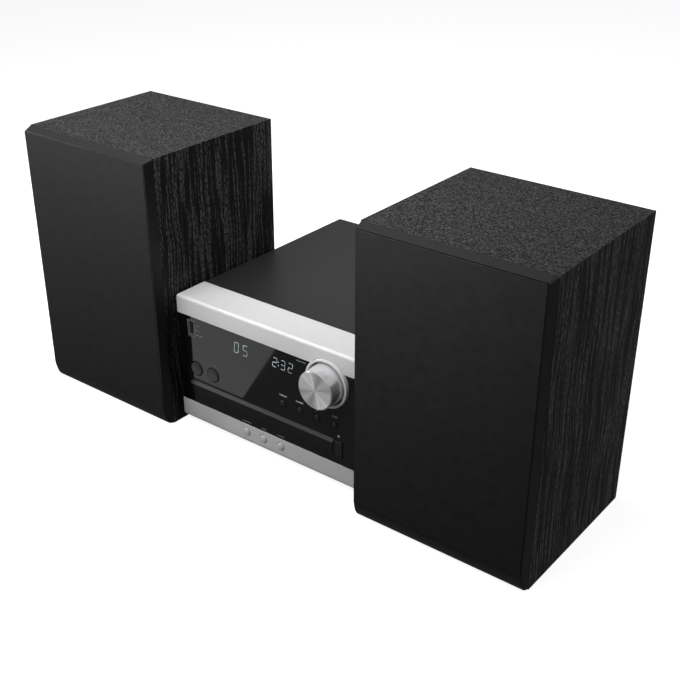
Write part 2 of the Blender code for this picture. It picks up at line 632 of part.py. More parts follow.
# ---------------------------------------------------------------- receiver: case
def bottom_chassis(unit):
    """Folded steel floor with upturned edges and vent slots."""
    side = SHEET + 2 * GAP
    x, y = (side, MAIN_WIDTH - side), (COVER_FRONT, REAR_FRONT - GAP)
    flange, slot_pitch, slot_width, slot_count = 9.0 * MM, 7.0 * MM, 3.0 * MM, 11
    chassis = piece("bottom_chassis", "bare_steel", unit, box(x, y, (FOOT_HEIGHT, FOOT_HEIGHT + flange)))
    cut(chassis, box(grown(x, -SHEET), (y[0] - SHEET, y[1] - SHEET), (CHASSIS_TOP, FOOT_HEIGHT + 2 * flange)))
    first = MAIN_WIDTH / 2 - (slot_count - 1) / 2 * slot_pitch
    slots = [box(around(first + i * slot_pitch, slot_width), (y[1] - 26 * MM, y[1] - 8 * MM),
                 (FOOT_HEIGHT - SHEET, CHASSIS_TOP + SHEET)) for i in range(slot_count)]
    cut(chassis, *slots)


def top_cover(unit):
    """Black steel cover folded over top and sides, with a row of vent slots in each side."""
    x, y = grown((0, MAIN_WIDTH), -GAP), (COVER_FRONT, MAIN_DEPTH)
    top = MAIN_HEIGHT - GAP
    bottom = CHASSIS_TOP + GAP
    shape = bevelled(box(x, y, (bottom, top)), 1.6 * MM, 3,
                     lambda at, way: abs(way.y) > 0.9 and at.z > top - GAP)
    cover = piece("top_cover", "black_steel", unit, shape)
    cut(cover, box(grown(x, -SHEET), grown(y, SHEET), (bottom - SHEET, top - SHEET)))
    slot_pitch, slot_width, slot_count, slot_z = 6.5 * MM, 2.5 * MM, 9, (72 * MM, 96 * MM)
    first = y[1] - 24 * MM
    slots = [box(grown((0, MAIN_WIDTH), MOULDING), around(first - i * slot_pitch, slot_width), slot_z)
             for i in range(slot_count)]
    cut(cover, *slots)


def rear_panel(unit):
    """Steel back with the holes of its three sockets."""
    inset = GAP + SHEET + GAP
    panel = piece("rear_panel", "black_steel", unit,
                  box(grown((0, MAIN_WIDTH), -inset), (REAR_FRONT, MAIN_DEPTH),
                      (CHASSIS_TOP + GAP, MAIN_HEIGHT - inset)))
    span = grown((REAR_FRONT, MAIN_DEPTH), SHEET)
    inlet_x, inlet_z = inlet_spans()
    sockets_x, sockets_z = socket_block_spans()
    cut(panel, box(grown(inlet_x, GAP), span, grown(inlet_z, GAP)),
        box(grown(sockets_x, GAP), span, grown(sockets_z, GAP)),
        rod("Y", antenna_place(), ANTENNA_RADIUS + GAP, span))


def feet(unit):
    """Four round rubber feet under the chassis and the front moulding."""
    radius, round_edge = FOOT_RADIUS, 1.0 * MM
    top = FOOT_HEIGHT - GAP
    profile = [(0, 0), (radius - round_edge, 0), (radius, round_edge), (radius, top), (0, top)]
    for row, y in (("front", FOOT_FRONT), ("rear", MAIN_DEPTH - FOOT_REAR)):
        for side, x in (("left", FOOT_INSET), ("right", MAIN_WIDTH - FOOT_INSET)):
            at = (x, y, 0)
            piece(f"foot_{row}_{side}", "black_rubber", unit, turned(profile, "Z", at), at, smooth=True)


# ---------------------------------------------------------------- receiver: electronics
CAPACITOR_PLACES = ((78 * MM, 80 * MM), (78 * MM, 98 * MM), (98 * MM, 80 * MM), (98 * MM, 98 * MM))
CAPACITOR = (6 * MM, 22 * MM)                  # radius and height
# x, y, width, depth, height of the box-shaped components
MAIN_CHIPS = ((92 * MM, 130 * MM, 16 * MM, 16 * MM, 2.4 * MM),
              (78 * MM, 160 * MM, 26 * MM, 20 * MM, 14 * MM),
              (120 * MM, 60 * MM, 22 * MM, 6 * MM, 8 * MM))
POWER_PARTS = ((46 * MM, 82 * MM, 12 * MM, 20 * MM, 14 * MM),
               (20 * MM, 158 * MM, 14 * MM, 26 * MM, 12 * MM),
               (44 * MM, 160 * MM, 8 * MM, 22 * MM, 9 * MM))
TRANSFORMER_PLACE = (33 * MM, 120 * MM)
HEAT_SINK_Y = (80 * MM, 160 * MM)
HEAT_SINK_INSET = 3.8 * MM                     # from the main board's right edge
BOARD_SETBACK = 8.0 * MM                       # boards end this far before the rear panel
MAIN_BOARD_LEFT, MAIN_BOARD_FRONT = 62 * MM, 44 * MM
POWER_BOARD_X, POWER_BOARD_FRONT = (9 * MM, 58 * MM), 64 * MM
MAINS_CAPACITOR_PLACE = (22 * MM, 80 * MM)
MAINS_CAPACITOR = (9 * MM, 30 * MM)            # radius and height


def board_shelf(unit):
    """Folded steel bridge over the disc mechanism; its legs stand on the chassis."""
    side = SHEET + 2 * GAP + SHEET + GAP
    x, y = (side, MAIN_WIDTH - side), (FRAME_FRONT + 18 * MM, REAR_FRONT - 6 * MM)
    bottom = CHASSIS_TOP + GAP
    shelf = piece("board_shelf", "bare_steel", unit, box(x, y, (bottom, SHELF_TOP)))
    cut(shelf, box(grown(x, -SHEET), grown(y, SHEET), (bottom - SHEET, SHELF_TOP - SHEET)))
    pillar, radius = (SHELF_TOP - SHEET / 2, MAIN_BOARD_BOTTOM - GAP), 2.6 * MM
    for spans in (main_board_spans(), power_board_spans()):
        for px in grown(spans[0], -5 * MM):
            for py in grown(spans[1], -6 * MM):
                join(shelf, rod("Z", (px, py, 0), radius, pillar, 12))


def main_board_spans():
    """The main board's (low, high) along x and y."""
    return (MAIN_BOARD_LEFT, MAIN_WIDTH - BOARD_SETBACK), (MAIN_BOARD_FRONT, REAR_FRONT - BOARD_SETBACK)


def power_board_spans():
    """The supply board's (low, high) along x and y."""
    return POWER_BOARD_X, (POWER_BOARD_FRONT, REAR_FRONT - BOARD_SETBACK)


def main_board(unit):
    """Main circuit board with its tallest components."""
    x, y = main_board_spans()
    board = piece("main_board", "circuit_board", unit, box(x, y, (MAIN_BOARD_BOTTOM, BOARD_TOP)))
    sink = BOARD_TOP - BOARD_THICKNESS / 2
    radius, height = CAPACITOR
    for px, py in CAPACITOR_PLACES:
        join(board, rod("Z", (px, py, 0), radius, (sink, BOARD_TOP + height), 20))
    for px, py, width, depth, height in MAIN_CHIPS:
        join(board, box(around(px, width), around(py, depth), (sink, BOARD_TOP + height)))


def power_board(unit):
    """Supply board with its mains capacitor, fuse holder and chokes."""
    x, y = power_board_spans()
    board = piece("power_board", "circuit_board", unit, box(x, y, (MAIN_BOARD_BOTTOM, BOARD_TOP)))
    sink = BOARD_TOP - BOARD_THICKNESS / 2
    radius, height = MAINS_CAPACITOR
    join(board, rod("Z", (*MAINS_CAPACITOR_PLACE, 0), radius, (sink, BOARD_TOP + height), 24))
    for px, py, width, depth, height in POWER_PARTS:
        join(board, box(around(px, width), around(py, depth), (sink, BOARD_TOP + height)))


def transformer(unit):
    """Ferrite E-core with its winding showing on both sides."""
    x, y = TRANSFORMER_PLACE
    bottom = BOARD_TOP + GAP
    core_size, winding = (34 * MM, 16 * MM, 28 * MM), (22 * MM, 30 * MM, 24 * MM)
    core = piece("transformer", "copper_winding", unit,
                 box(around(x, core_size[0]), around(y, core_size[1]), (bottom, bottom + core_size[2])))
    join(core, box(around(x, winding[0]), around(y, winding[1]), (bottom, bottom + winding[2])))


def heat_sink(unit):
    """Extruded aluminium comb beside the amplifier chip."""
    height, base, fin, pitch, count = 34 * MM, 4 * MM, 1.6 * MM, 6.0 * MM, 5
    width = base + count * pitch
    bottom = BOARD_TOP + GAP
    x = main_board_spans()[0][1] - width - HEAT_SINK_INSET
    sink = piece("heat_sink", "bare_steel", unit, box((x, x + width), HEAT_SINK_Y, (bottom, bottom + height)))
    cut(sink, *[box((x + base + i * pitch, x + base + (i + 1) * pitch - fin), grown(HEAT_SINK_Y, fin),
                    (bottom + base, bottom + height + fin)) for i in range(count)])


def antenna_place():
    """Axis of the antenna jack."""
    return (MAIN_WIDTH / 2, 0, REAR_SOCKET_Z)


def inlet_spans():
    """The mains inlet's (low, high) along x and z."""
    return around(INLET_X, INLET[0]), around(REAR_SOCKET_Z, INLET[1])


def socket_block_spans():
    """The same for the block of speaker sockets."""
    height = 2 * SOCKET[1] + 3 * SOCKET_WALL
    middle = MAIN_WIDTH - SOCKET_BLOCK_INSET
    return around(middle, SOCKET[0] + 2 * SOCKET_WALL), around(REAR_SOCKET_Z, height)


def mains_inlet(unit):
    """Two-pin figure-of-eight inlet, flush with the rear panel, on legs to the supply board."""
    x, z = inlet_spans()
    back = MAIN_DEPTH
    front = back - INLET_DEPTH
    inlet = piece("mains_inlet", "black_moulding", unit, box(x, (front, back), z))
    middle, lobe, pitch = sum(x) / 2, 4.2 * MM, 4.3 * MM
    depth = INLET_DEPTH * 2 / 3
    mouth = prism(rounded((middle - pitch - lobe, middle + pitch + lobe),
                          (REAR_SOCKET_Z - lobe, REAR_SOCKET_Z + lobe), lobe * 0.98), "Y",
                  (back - depth, back + SHEET))
    cut(inlet, mouth)
    for side in (-1, 1):
        join(inlet, rod("Y", (middle + side * pitch, 0, REAR_SOCKET_Z), PIN_RADIUS,
                        (back - depth - SHEET, back - 2.5 * MM), 12))
    join(inlet, box(grown(x, -3 * MM), (front, power_board_spans()[1][1]), (BOARD_TOP + GAP, z[0] + SHEET)))


def antenna_jack(unit):
    """Threaded coaxial jack through the rear panel, on a block on the main board."""
    x, y, z = antenna_place()
    back = MAIN_DEPTH + ANTENNA_PROUD
    front = main_board_spans()[1][1] - 12 * MM
    inner = REAR_FRONT - GAP
    jack = piece("antenna_jack", "bare_steel", unit,
                 box(around(x, 13 * MM), (front, inner), (BOARD_TOP + GAP, z + 7 * MM)))
    join(jack, rod("Y", (x, 0, z), ANTENNA_RADIUS, (inner - SHEET, back), 24))
    cut(jack, rod("Y", (x, 0, z), ANTENNA_RADIUS - 1.1 * MM, (back - 5 * MM, back + SHEET), 24))
    join(jack, rod("Y", (x, 0, z), 2.2 * MM, (back - 6 * MM, back - 0.6 * MM), 16))
    cut(jack, rod("Y", (x, 0, z), 0.6 * MM, (back - 5 * MM, back + SHEET), 12))


def two_pin_socket(node, x, z, back):
    """Mouth of a two-pin speaker socket cut into node, with its pins standing inside."""
    cut(node, box(around(x, SOCKET[0]), (back - SOCKET_DEPTH, back + SHEET), around(z, SOCKET[1])))
    for side in (-1, 1):
        join(node, rod("Y", (x + side * PIN_SPACING / 2, 0, z), PIN_RADIUS,
                       (back - SOCKET_DEPTH - SOCKET_WALL / 2, back - 2 * MM), 12))


def speaker_sockets(unit):
    """Block of two speaker sockets, one above the other, on the main board."""
    x, z = socket_block_spans()
    front = main_board_spans()[1][1] - 8 * MM
    block = piece("speaker_sockets", "white_moulding", unit, box(x, (front, MAIN_DEPTH), z))
    join(block, box(grown(x, -3 * MM), (front, main_board_spans()[1][1]), (BOARD_TOP + GAP, z[0] + SHEET)))
    middle = sum(x) / 2
    for side in (-1, 1):
        two_pin_socket(block, middle, REAR_SOCKET_Z + side * (SOCKET[1] + SOCKET_WALL) / 2, MAIN_DEPTH)


# ---------------------------------------------------------------- receiver: disc drive
def tray_door(unit):
    """Front of the tray, with a sloping ledge along its top edge."""
    low, high = DOOR_Z
    slope = 2.0 * MM
    outline = [(DOOR_FRONT, low), (DOOR_DEPTH, low), (DOOR_DEPTH, high), (DOOR_FRONT + slope, high),
               (DOOR_FRONT, high - DOOR_LEDGE)]
    piece("tray_door", "black_moulding", unit, prism(outline, "X", DOOR_X), (TRAY_X, 0, TRAY_BOTTOM))


def rack_outline(front, back):
    """Rack seen from above: a bar whose teeth point at the gear, from front to back."""
    left = TRAY_LEFT + RACK_INSET
    pitch_line = left + RACK_WIDTH
    tip, root, slope = 0.8 * MODULE, 1.1 * MODULE, math.tan(math.radians(20))
    pitch = math.pi * MODULE
    half = pitch / 4 - BACKLASH
    points = [(left - RACK_WIDTH / 2, back), (left - RACK_WIDTH / 2, front), (pitch_line - root, front)]
    first = math.ceil((front - LOADING_GEAR_Y) / pitch + 0.5)
    last = math.floor((back - LOADING_GEAR_Y) / pitch - 0.5)
    for i in range(first, last + 1):
        middle = LOADING_GEAR_Y + i * pitch
        points += [(pitch_line - root, middle - half - root * slope),
                   (pitch_line + tip, middle - half + tip * slope),
                   (pitch_line + tip, middle + half - tip * slope),
                   (pitch_line - root, middle + half + root * slope)]
    points.append((pitch_line - root, back))
    return points


def cd_tray(unit):
    """Disc tray: two-step disc well, a slot for the turntable and pickup, and a drive rack."""
    tray = piece("cd_tray", "black_moulding", unit,
                 box((TRAY_LEFT, TRAY_RIGHT), (TRAY_FRONT, TRAY_BACK), (TRAY_BOTTOM, TRAY_TOP)),
                 (TRAY_X, 0, TRAY_BOTTOM))
    middle = (TRAY_X, DISC_Y, 0)
    above = TRAY_TOP + SHEET
    small_floor = WELL_FLOOR - SMALL_WELL_DEPTH
    wells = [(0, small_floor), (SMALL_WELL_RADIUS, small_floor), (SMALL_WELL_RADIUS, WELL_FLOOR),
             (WELL_RADIUS, WELL_FLOOR), (WELL_RADIUS, above), (0, above)]
    cut(tray, turned(wells, "Z", middle, 40))
    slot = [(TRAY_X + SLOT_HALF_WIDTH * math.cos(a), DISC_Y + SLOT_HALF_WIDTH * math.sin(a))
            for a in (math.radians(180 + 15 * i) for i in range(13))]
    slot += [(TRAY_X + SLOT_HALF_WIDTH, DISC_Y + SLOT_LENGTH),
             (TRAY_X - SLOT_HALF_WIDTH, DISC_Y + SLOT_LENGTH)]
    cut(tray, prism(slot, "Z", (TRAY_BOTTOM - SHEET, above)))
    join(tray, prism(rack_outline(TRAY_FRONT + 4 * MM, TRAY_BACK), "Z",
                     (TRAY_BOTTOM - RACK_DROP, TRAY_BOTTOM + GAP)))


def loading_gear(unit):
    """Gear that drives the rack, moulded with its belt pulley, on a pin of the frame."""
    pitch_radius, pressure = GEAR_RADIUS, math.radians(20)
    base_radius = pitch_radius * math.cos(pressure)
    tip_radius, root_radius = pitch_radius + 0.8 * MODULE, pitch_radius - 1.1 * MODULE

    def half_angle(radius):
        """Half the tooth's angle at a radius: involute flank thinned by the backlash."""
        def involute(r):
            turn = math.acos(min(1.0, base_radius / r))
            return math.tan(turn) - turn
        at_pitch = math.pi / (2 * GEAR_TEETH) - BACKLASH / pitch_radius
        return at_pitch + involute(pitch_radius) - involute(radius)

    outline = []
    for tooth in range(GEAR_TEETH):
        middle = math.pi + 2 * math.pi * (tooth + 0.5) / GEAR_TEETH
        flank = [root_radius, base_radius, pitch_radius, tip_radius]
        angles = [half_angle(max(r, base_radius)) for r in flank]
        for r, a in zip(flank, angles):
            outline.append((r * math.cos(middle - a), r * math.sin(middle - a)))
        for r, a in zip(reversed(flank), reversed(angles)):
            outline.append((r * math.cos(middle + a), r * math.sin(middle + a)))
    at = (GEAR_X, LOADING_GEAR_Y, 0)
    top = TRAY_BOTTOM - GAP
    bottom = TRAY_BOTTOM - RACK_DROP
    gear = piece("loading_gear", "white_moulding", unit,
                 prism([(GEAR_X + u, LOADING_GEAR_Y + v) for u, v in outline], "Z", (bottom, top)), at)
    pulley = [(0, FRAME_FLOOR_TOP + GAP), (4 * MM, FRAME_FLOOR_TOP + GAP), (4 * MM, bottom - 6 * MM),
              (9 * MM, bottom - 6 * MM), (7.6 * MM, bottom - 4.5 * MM), (9 * MM, bottom - 3 * MM),
              (4 * MM, bottom - 3 * MM), (4 * MM, top - SHEET), (0, top - SHEET)]
    join(gear, turned(pulley, "Z", at, 16))
    cut(gear, rod("Z", at, GEAR_PIN + GAP, (FRAME_FLOOR, top + SHEET), 16))


def loading_motor(unit):
    """Flat motor on the frame's floor with a pulley in line with the gear's pulley."""
    at = (GEAR_X + LOADING_MOTOR_OFFSET[0], LOADING_GEAR_Y + LOADING_MOTOR_OFFSET[1], 0)
    can = LOADING_MOTOR_RADIUS
    groove = TRAY_BOTTOM - RACK_DROP
    bottom = FRAME_FLOOR_TOP + GAP
    top = groove - 7.5 * MM
    profile = [(0, bottom), (can, bottom), (can, top), (1 * MM, top), (1 * MM, groove - 6 * MM),
               (3.6 * MM, groove - 6 * MM), (2.2 * MM, groove - 4.5 * MM), (3.6 * MM, groove - 3 * MM),
               (0, groove - 3 * MM)]
    piece("loading_motor", "bare_steel", unit, turned(profile, "Z", at), at, smooth=True)


def loader_frame(unit):
    """Moulded frame: floor, side walls with tray runners, rear wall, legs and the gear's pin."""
    x, y = (FRAME_LEFT, FRAME_RIGHT), (FRAME_FRONT, FRAME_BACK)
    frame = piece("loader_frame", "black_moulding", unit, box(x, y, (FRAME_FLOOR, FRAME_TOP)))
    inside = grown(x, -FRAME_WALL)
    cut(frame, box(inside, (y[0] - SHEET, y[1] - FRAME_WALL), (FRAME_FLOOR_TOP, FRAME_TOP + SHEET)))
    pit = grown((TRAY_X, TRAY_X), TRAVERSE_X + 3 * MM)
    cut(frame, box(pit, (y[0] + 16 * MM, y[1] - 22 * MM), (FRAME_FLOOR - SHEET, FRAME_FLOOR_TOP + SHEET)))
    ledge = (TRAY_BOTTOM - GAP - 2 * MM, TRAY_BOTTOM - GAP)
    tab = (TRAY_TOP + GAP, TRAY_TOP + GAP + 1.5 * MM)
    for wall, way in ((x[0], 1), (x[1], -1)):
        reach = sorted((wall + way * FRAME_WALL / 2, wall + way * (FRAME_WALL + RUNNER_WIDTH)))
        join(frame, box(reach, (y[0], y[1] - FRAME_WALL / 2), ledge))
        for start in (y[0], y[0] + 84 * MM):
            join(frame, box(reach, (start, start + 40 * MM), tab))
        for py in (y[0] + 22 * MM, y[1] - 14 * MM):
            join(frame, rod("Z", (wall + way * 6 * MM, py, 0), 4 * MM,
                            (CHASSIS_TOP + GAP, FRAME_FLOOR + SHEET), 16))
    join(frame, rod("Z", (GEAR_X, LOADING_GEAR_Y, 0), GEAR_PIN,
                    (FRAME_FLOOR + SHEET, TRAY_BOTTOM - 2 * GAP), 16))


def traverse_base(unit):
    """Plate that carries spindle motor and pickup; four ears stand on the frame's floor."""
    x = grown((TRAY_X, TRAY_X), TRAVERSE_X)
    y = (DISC_Y + TRAVERSE_Y[0], DISC_Y + TRAVERSE_Y[1])
    z = (TRAVERSE_BOTTOM, TRAVERSE_TOP)
    base = piece("traverse_base", "bare_steel", unit, box(x, y, z))
    ear = 12 * MM
    for side, way in ((x[0], -1), (x[1], 1)):
        for py in (y[0] + 10 * MM, y[1] - 12 * MM):
            join(base, box(sorted((side - way * SHEET, side + way * ear)), around(py, ear), z),
                 rod("Z", (side + way * 7.5 * MM, py, 0), 3 * MM, (FRAME_FLOOR_TOP + GAP, z[0] + SHEET), 16))
    cut(base, rod("Z", (TRAY_X, DISC_Y, 0), SPINDLE_RADIUS + HUB_WALL + GAP, grown(z, SHEET), 24))
    cut(base, box(grown((TRAY_X, TRAY_X), 13 * MM), (DISC_Y + 14 * MM, y[1] - 4 * MM), grown(z, SHEET)))
    rod_x, rod_y, rod_z = rod_place()
    for py in (y[0] + 2 * MM, y[1] - 4 * MM):
        join(base, box(around(rod_x, 6 * MM), (py, py + 2.5 * MM), (z[1] - SHEET, rod_z + 3 * MM)))
    cut(base, rod("Y", rod_place(), ROD_RADIUS + GAP, grown(y, SHEET), 16))
    rail = TRAY_X + 19 * MM
    join(base, box(around(rail, 3 * MM), (DISC_Y + 12 * MM, y[1]), (z[1] - SHEET, PICKUP_BOTTOM - GAP)))


def rod_place():
    """Axis of the guide rod."""
    return (TRAY_X - 24.5 * MM, 0, TRAVERSE_TOP + 4.6 * MM)


def guide_rod(unit):
    """Steel rod that the pickup slides on."""
    span = (DISC_Y + TRAVERSE_Y[0] + 1.5 * MM, DISC_Y + TRAVERSE_Y[1] - 1 * MM)
    piece("guide_rod", "bare_steel", unit, rod("Y", rod_place(), ROD_RADIUS, span, 16), smooth=True)


def laser_pickup(unit):
    """Pickup sled with its arm on the guide rod and its lens on top."""
    lens_y = DISC_Y + PICKUP_REST
    at = (TRAY_X, lens_y, PICKUP_BOTTOM)
    z = (PICKUP_BOTTOM, PICKUP_BOTTOM + PICKUP_HEIGHT)
    sled = piece("laser_pickup", "black_moulding", unit,
                 box(grown((TRAY_X, TRAY_X), PICKUP_HALF_WIDTH),
                     (lens_y - PICKUP_Y[0], lens_y + PICKUP_Y[1]), z), at)
    rod_x, rod_y, rod_z = rod_place()
    join(sled, box((rod_x - 3.2 * MM, TRAY_X - 19 * MM), (lens_y - 8 * MM, lens_y + 1 * MM), z),
         rod("Z", (TRAY_X, lens_y, 0), 5 * MM, (z[1] - SHEET, z[1] + 1.6 * MM), 24))
    cut(sled, rod("Y", (rod_x, 0, rod_z), ROD_RADIUS + GAP,
                  (lens_y - TRAVERSE_Y[1], lens_y + TRAVERSE_Y[1]), 16))


def spindle_motor(unit):
    """Disc motor hung under the traverse plate, with a bush through it."""
    at = (TRAY_X, DISC_Y, 0)
    bore = SPINDLE_RADIUS + GAP
    neck = SPINDLE_RADIUS + HUB_WALL
    bottom = CHASSIS_TOP + MOTOR_FLOOR_AIR
    can, can_top = MOTOR_CAN, TRAVERSE_BOTTOM - GAP
    profile = [(0, bottom), (can, bottom), (can, can_top), (neck, can_top),
               (neck, TRAVERSE_TOP + GAP), (bore, TRAVERSE_TOP + GAP), (bore, bottom + MOTOR_CAP),
               (0, bottom + MOTOR_CAP)]
    piece("spindle_motor", "bare_steel", unit, turned(profile, "Z", at), smooth=True)


def turntable(unit):
    """Spindle with the platter and centring cone that carry the disc."""
    at = (TRAY_X, DISC_Y, 0)
    bottom = CHASSIS_TOP + MOTOR_FLOOR_AIR + MOTOR_CAP + GAP
    hub = TRAVERSE_TOP + 2 * GAP
    top = TRAY_BOTTOM - 0.9 * MM
    profile = [(0, bottom), (SPINDLE_RADIUS, bottom), (SPINDLE_RADIUS, hub), (5 * MM, hub),
               (5 * MM, top - 4.6 * MM), (PLATTER_RADIUS, top - 4.6 * MM), (PLATTER_RADIUS, top - 2.4 * MM),
               (7.4 * MM, top - 2.4 * MM), (7.4 * MM, top - 1.6 * MM), (6.2 * MM, top), (0, top)]
    piece("turntable", "black_moulding", unit, turned(profile, "Z", at), at, smooth=True)


def clamp_bridge(unit):
    """Beam across the frame's walls that holds the disc clamp."""
    bottom = FRAME_TOP + GAP
    bridge = piece("clamp_bridge", "bare_steel", unit,
                   box((FRAME_LEFT, FRAME_RIGHT), around(DISC_Y, BRIDGE_WIDTH),
                       (bottom, bottom + BRIDGE_SHEET)))
    cut(bridge, rod("Z", (TRAY_X, DISC_Y, 0), PUCK_NECK + GAP, (bottom - SHEET, bottom + 2 * SHEET)))


def clamp_puck(unit):
    """Magnetic disc clamp: its rim rests on the bridge, its pad hangs below."""
    at = (TRAY_X, DISC_Y, 0)
    under = FRAME_TOP + GAP
    over = under + BRIDGE_SHEET + GAP
    low = TRAY_TOP + 2.2 * MM
    profile = [(0, low), (PUCK_RIM - 1 * MM, low), (PUCK_RIM - 1 * MM, low + 1.6 * MM),
               (PUCK_NECK, low + 1.6 * MM), (PUCK_NECK, over), (PUCK_RIM, over),
               (PUCK_RIM, over + 1.2 * MM), (0, over + 1.2 * MM)]
    piece("clamp_puck", "black_moulding", unit, turned(profile, "Z", at), at, smooth=True)


# ---------------------------------------------------------------- speaker
def peg_places():
    """Grille pegs: two near the top corners, two near the bottom ones."""
    return [(x, z) for x in (PEG_INSET, SPEAKER_WIDTH - PEG_INSET)
            for z in (PEG_LOW, SPEAKER_HEIGHT - PEG_HIGH)]


def grille_sections():
    """Outline of the grille frame from its back to its face, narrowing along a curve."""
    back = GRILLE_DEPTH - GAP
    steps = 4
    rings = []
    for i in range(steps + 1):
        t = i / steps
        y = back * (1 - t)
        x = grown((0, SPEAKER_WIDTH), -FACE_SIDE_INSET * t ** 2)
        z = (FACE_BOTTOM_INSET * t ** 3, SPEAKER_HEIGHT - FACE_TOP_INSET * t ** 2)
        rings.append([Vector((u, y, v)) for u, v in rounded(x, z, GRILLE_CORNER)])
    return rings


def cloth_outline(margin):
    """Outline of the grille's front recess, less a margin."""
    x = grown((0, SPEAKER_WIDTH), -(FACE_SIDE_INSET + CLOTH_RIM + margin))
    z = (FACE_BOTTOM_INSET + CLOTH_RIM + margin, SPEAKER_HEIGHT - FACE_TOP_INSET - CLOTH_RIM - margin)
    return rounded(x, z, GRILLE_CORNER - CLOTH_RIM)


def grille(unit, side):
    """Moulded grille frame with pegs, and the cloth stretched in its shallow front recess."""
    frame = piece(f"grille_frame_{side}", "black_moulding", unit, loft(grille_sections()), smooth=True)
    opening = rounded(grown((0, SPEAKER_WIDTH), -GRILLE_BORDER),
                      (FACE_BOTTOM_INSET + GRILLE_BORDER, SPEAKER_HEIGHT - GRILLE_BORDER), GRILLE_CORNER)
    cut(frame, prism(opening, "Y", (-SHEET, GRILLE_DEPTH + SHEET)))
    recess = CLOTH_THICKNESS + 2 * GAP
    cut(frame, prism(cloth_outline(0), "Y", (-SHEET, recess)))
    flange_front = GRILLE_DEPTH - GAP - WOOFER_FLANGE[1]
    cut(frame, rod("Y", (WOOFER_X, 0, WOOFER_Z), WOOFER_RADIUS + GAP, (flange_front - GAP, GRILLE_DEPTH)))
    for x, z in peg_places():
        join(frame, rod("Y", (x, 0, z), PEG_RADIUS, (GRILLE_DEPTH / 2, GRILLE_DEPTH + PEG_LENGTH), 16))
    piece(f"grille_cloth_{side}", "grille_cloth", unit,
          prism(cloth_outline(GAP), "Y", (recess - GAP - CLOTH_THICKNESS, recess - GAP)))


def cabinet(unit, side):
    """Closed box of vinyl-wrapped board, with the woofer's, the port panel's and the pegs' holes."""
    x, y, z = (0, SPEAKER_WIDTH), (GRILLE_DEPTH, SPEAKER_DEPTH), (0, SPEAKER_HEIGHT)
    box_node = piece(f"cabinet_{side}", "speaker_board", unit, box(x, y, z))
    cut(box_node, box(grown(x, -BOARD_WALL), grown(y, -BOARD_WALL), grown(z, -BOARD_WALL)))
    cut(box_node, rod("Y", (WOOFER_X, 0, WOOFER_Z), WOOFER_HOLE, (0, y[0] + 2 * BOARD_WALL)))
    panel_x, panel_z = around(WOOFER_X, PORT_PANEL[0]), around(PORT_PANEL_Z, PORT_PANEL[1])
    rim = PORT_PANEL_CORNER
    cut(box_node, prism(rounded(grown(panel_x, GAP), grown(panel_z, GAP), PORT_PANEL_CORNER), "Y",
                        (y[1] - PORT_RECESS, y[1] + SHEET)))
    cut(box_node, box(grown(panel_x, -rim), (y[1] - 2 * BOARD_WALL, y[1] + SHEET), grown(panel_z, -rim)))
    cut(box_node, *[rod("Y", (px, 0, pz), PEG_RADIUS + GAP, (y[0] - SHEET, y[0] + PEG_LENGTH + GAP), 16)
                    for px, pz in peg_places()])


def port_panel(unit, side):
    """Rear moulding let into the cabinet: flared port tube above, speaker socket below."""
    back = SPEAKER_DEPTH
    front = back - PORT_RECESS + GAP
    x, z = around(WOOFER_X, PORT_PANEL[0]), around(PORT_PANEL_Z, PORT_PANEL[1])
    panel = piece(f"port_panel_{side}", "black_moulding", unit,
                  prism(rounded(x, z, PORT_PANEL_CORNER), "Y", (front, back)))
    at = (WOOFER_X, 0, PORT_Z)
    join(panel, rod("Y", at, PORT_RADIUS + PORT_WALL, (back - PORT_LENGTH, back - GAP)))
    block = SOCKET_DEPTH + SOCKET_WALL
    join(panel, box(around(WOOFER_X, SOCKET[0] + 2 * SOCKET_WALL), (back - block, back - GAP),
                    around(SPEAKER_SOCKET_Z, SOCKET[1] + 2 * SOCKET_WALL)))
    bore = [(0, -PORT_LENGTH - SHEET), (PORT_RADIUS, -PORT_LENGTH - SHEET), (PORT_RADIUS, -PORT_FLARE)]
    bore += [(PORT_RADIUS + PORT_FLARE * (1 - math.cos(a)), -PORT_FLARE * (1 - math.sin(a)))
             for a in (math.radians(30), math.radians(60), math.radians(90))]
    bore += [(PORT_RADIUS + PORT_FLARE, SHEET), (0, SHEET)]
    two_pin_socket(panel, WOOFER_X, SPEAKER_SOCKET_Z, back)
    cut(panel, turned(bore, "Y", (WOOFER_X, back, PORT_Z)))


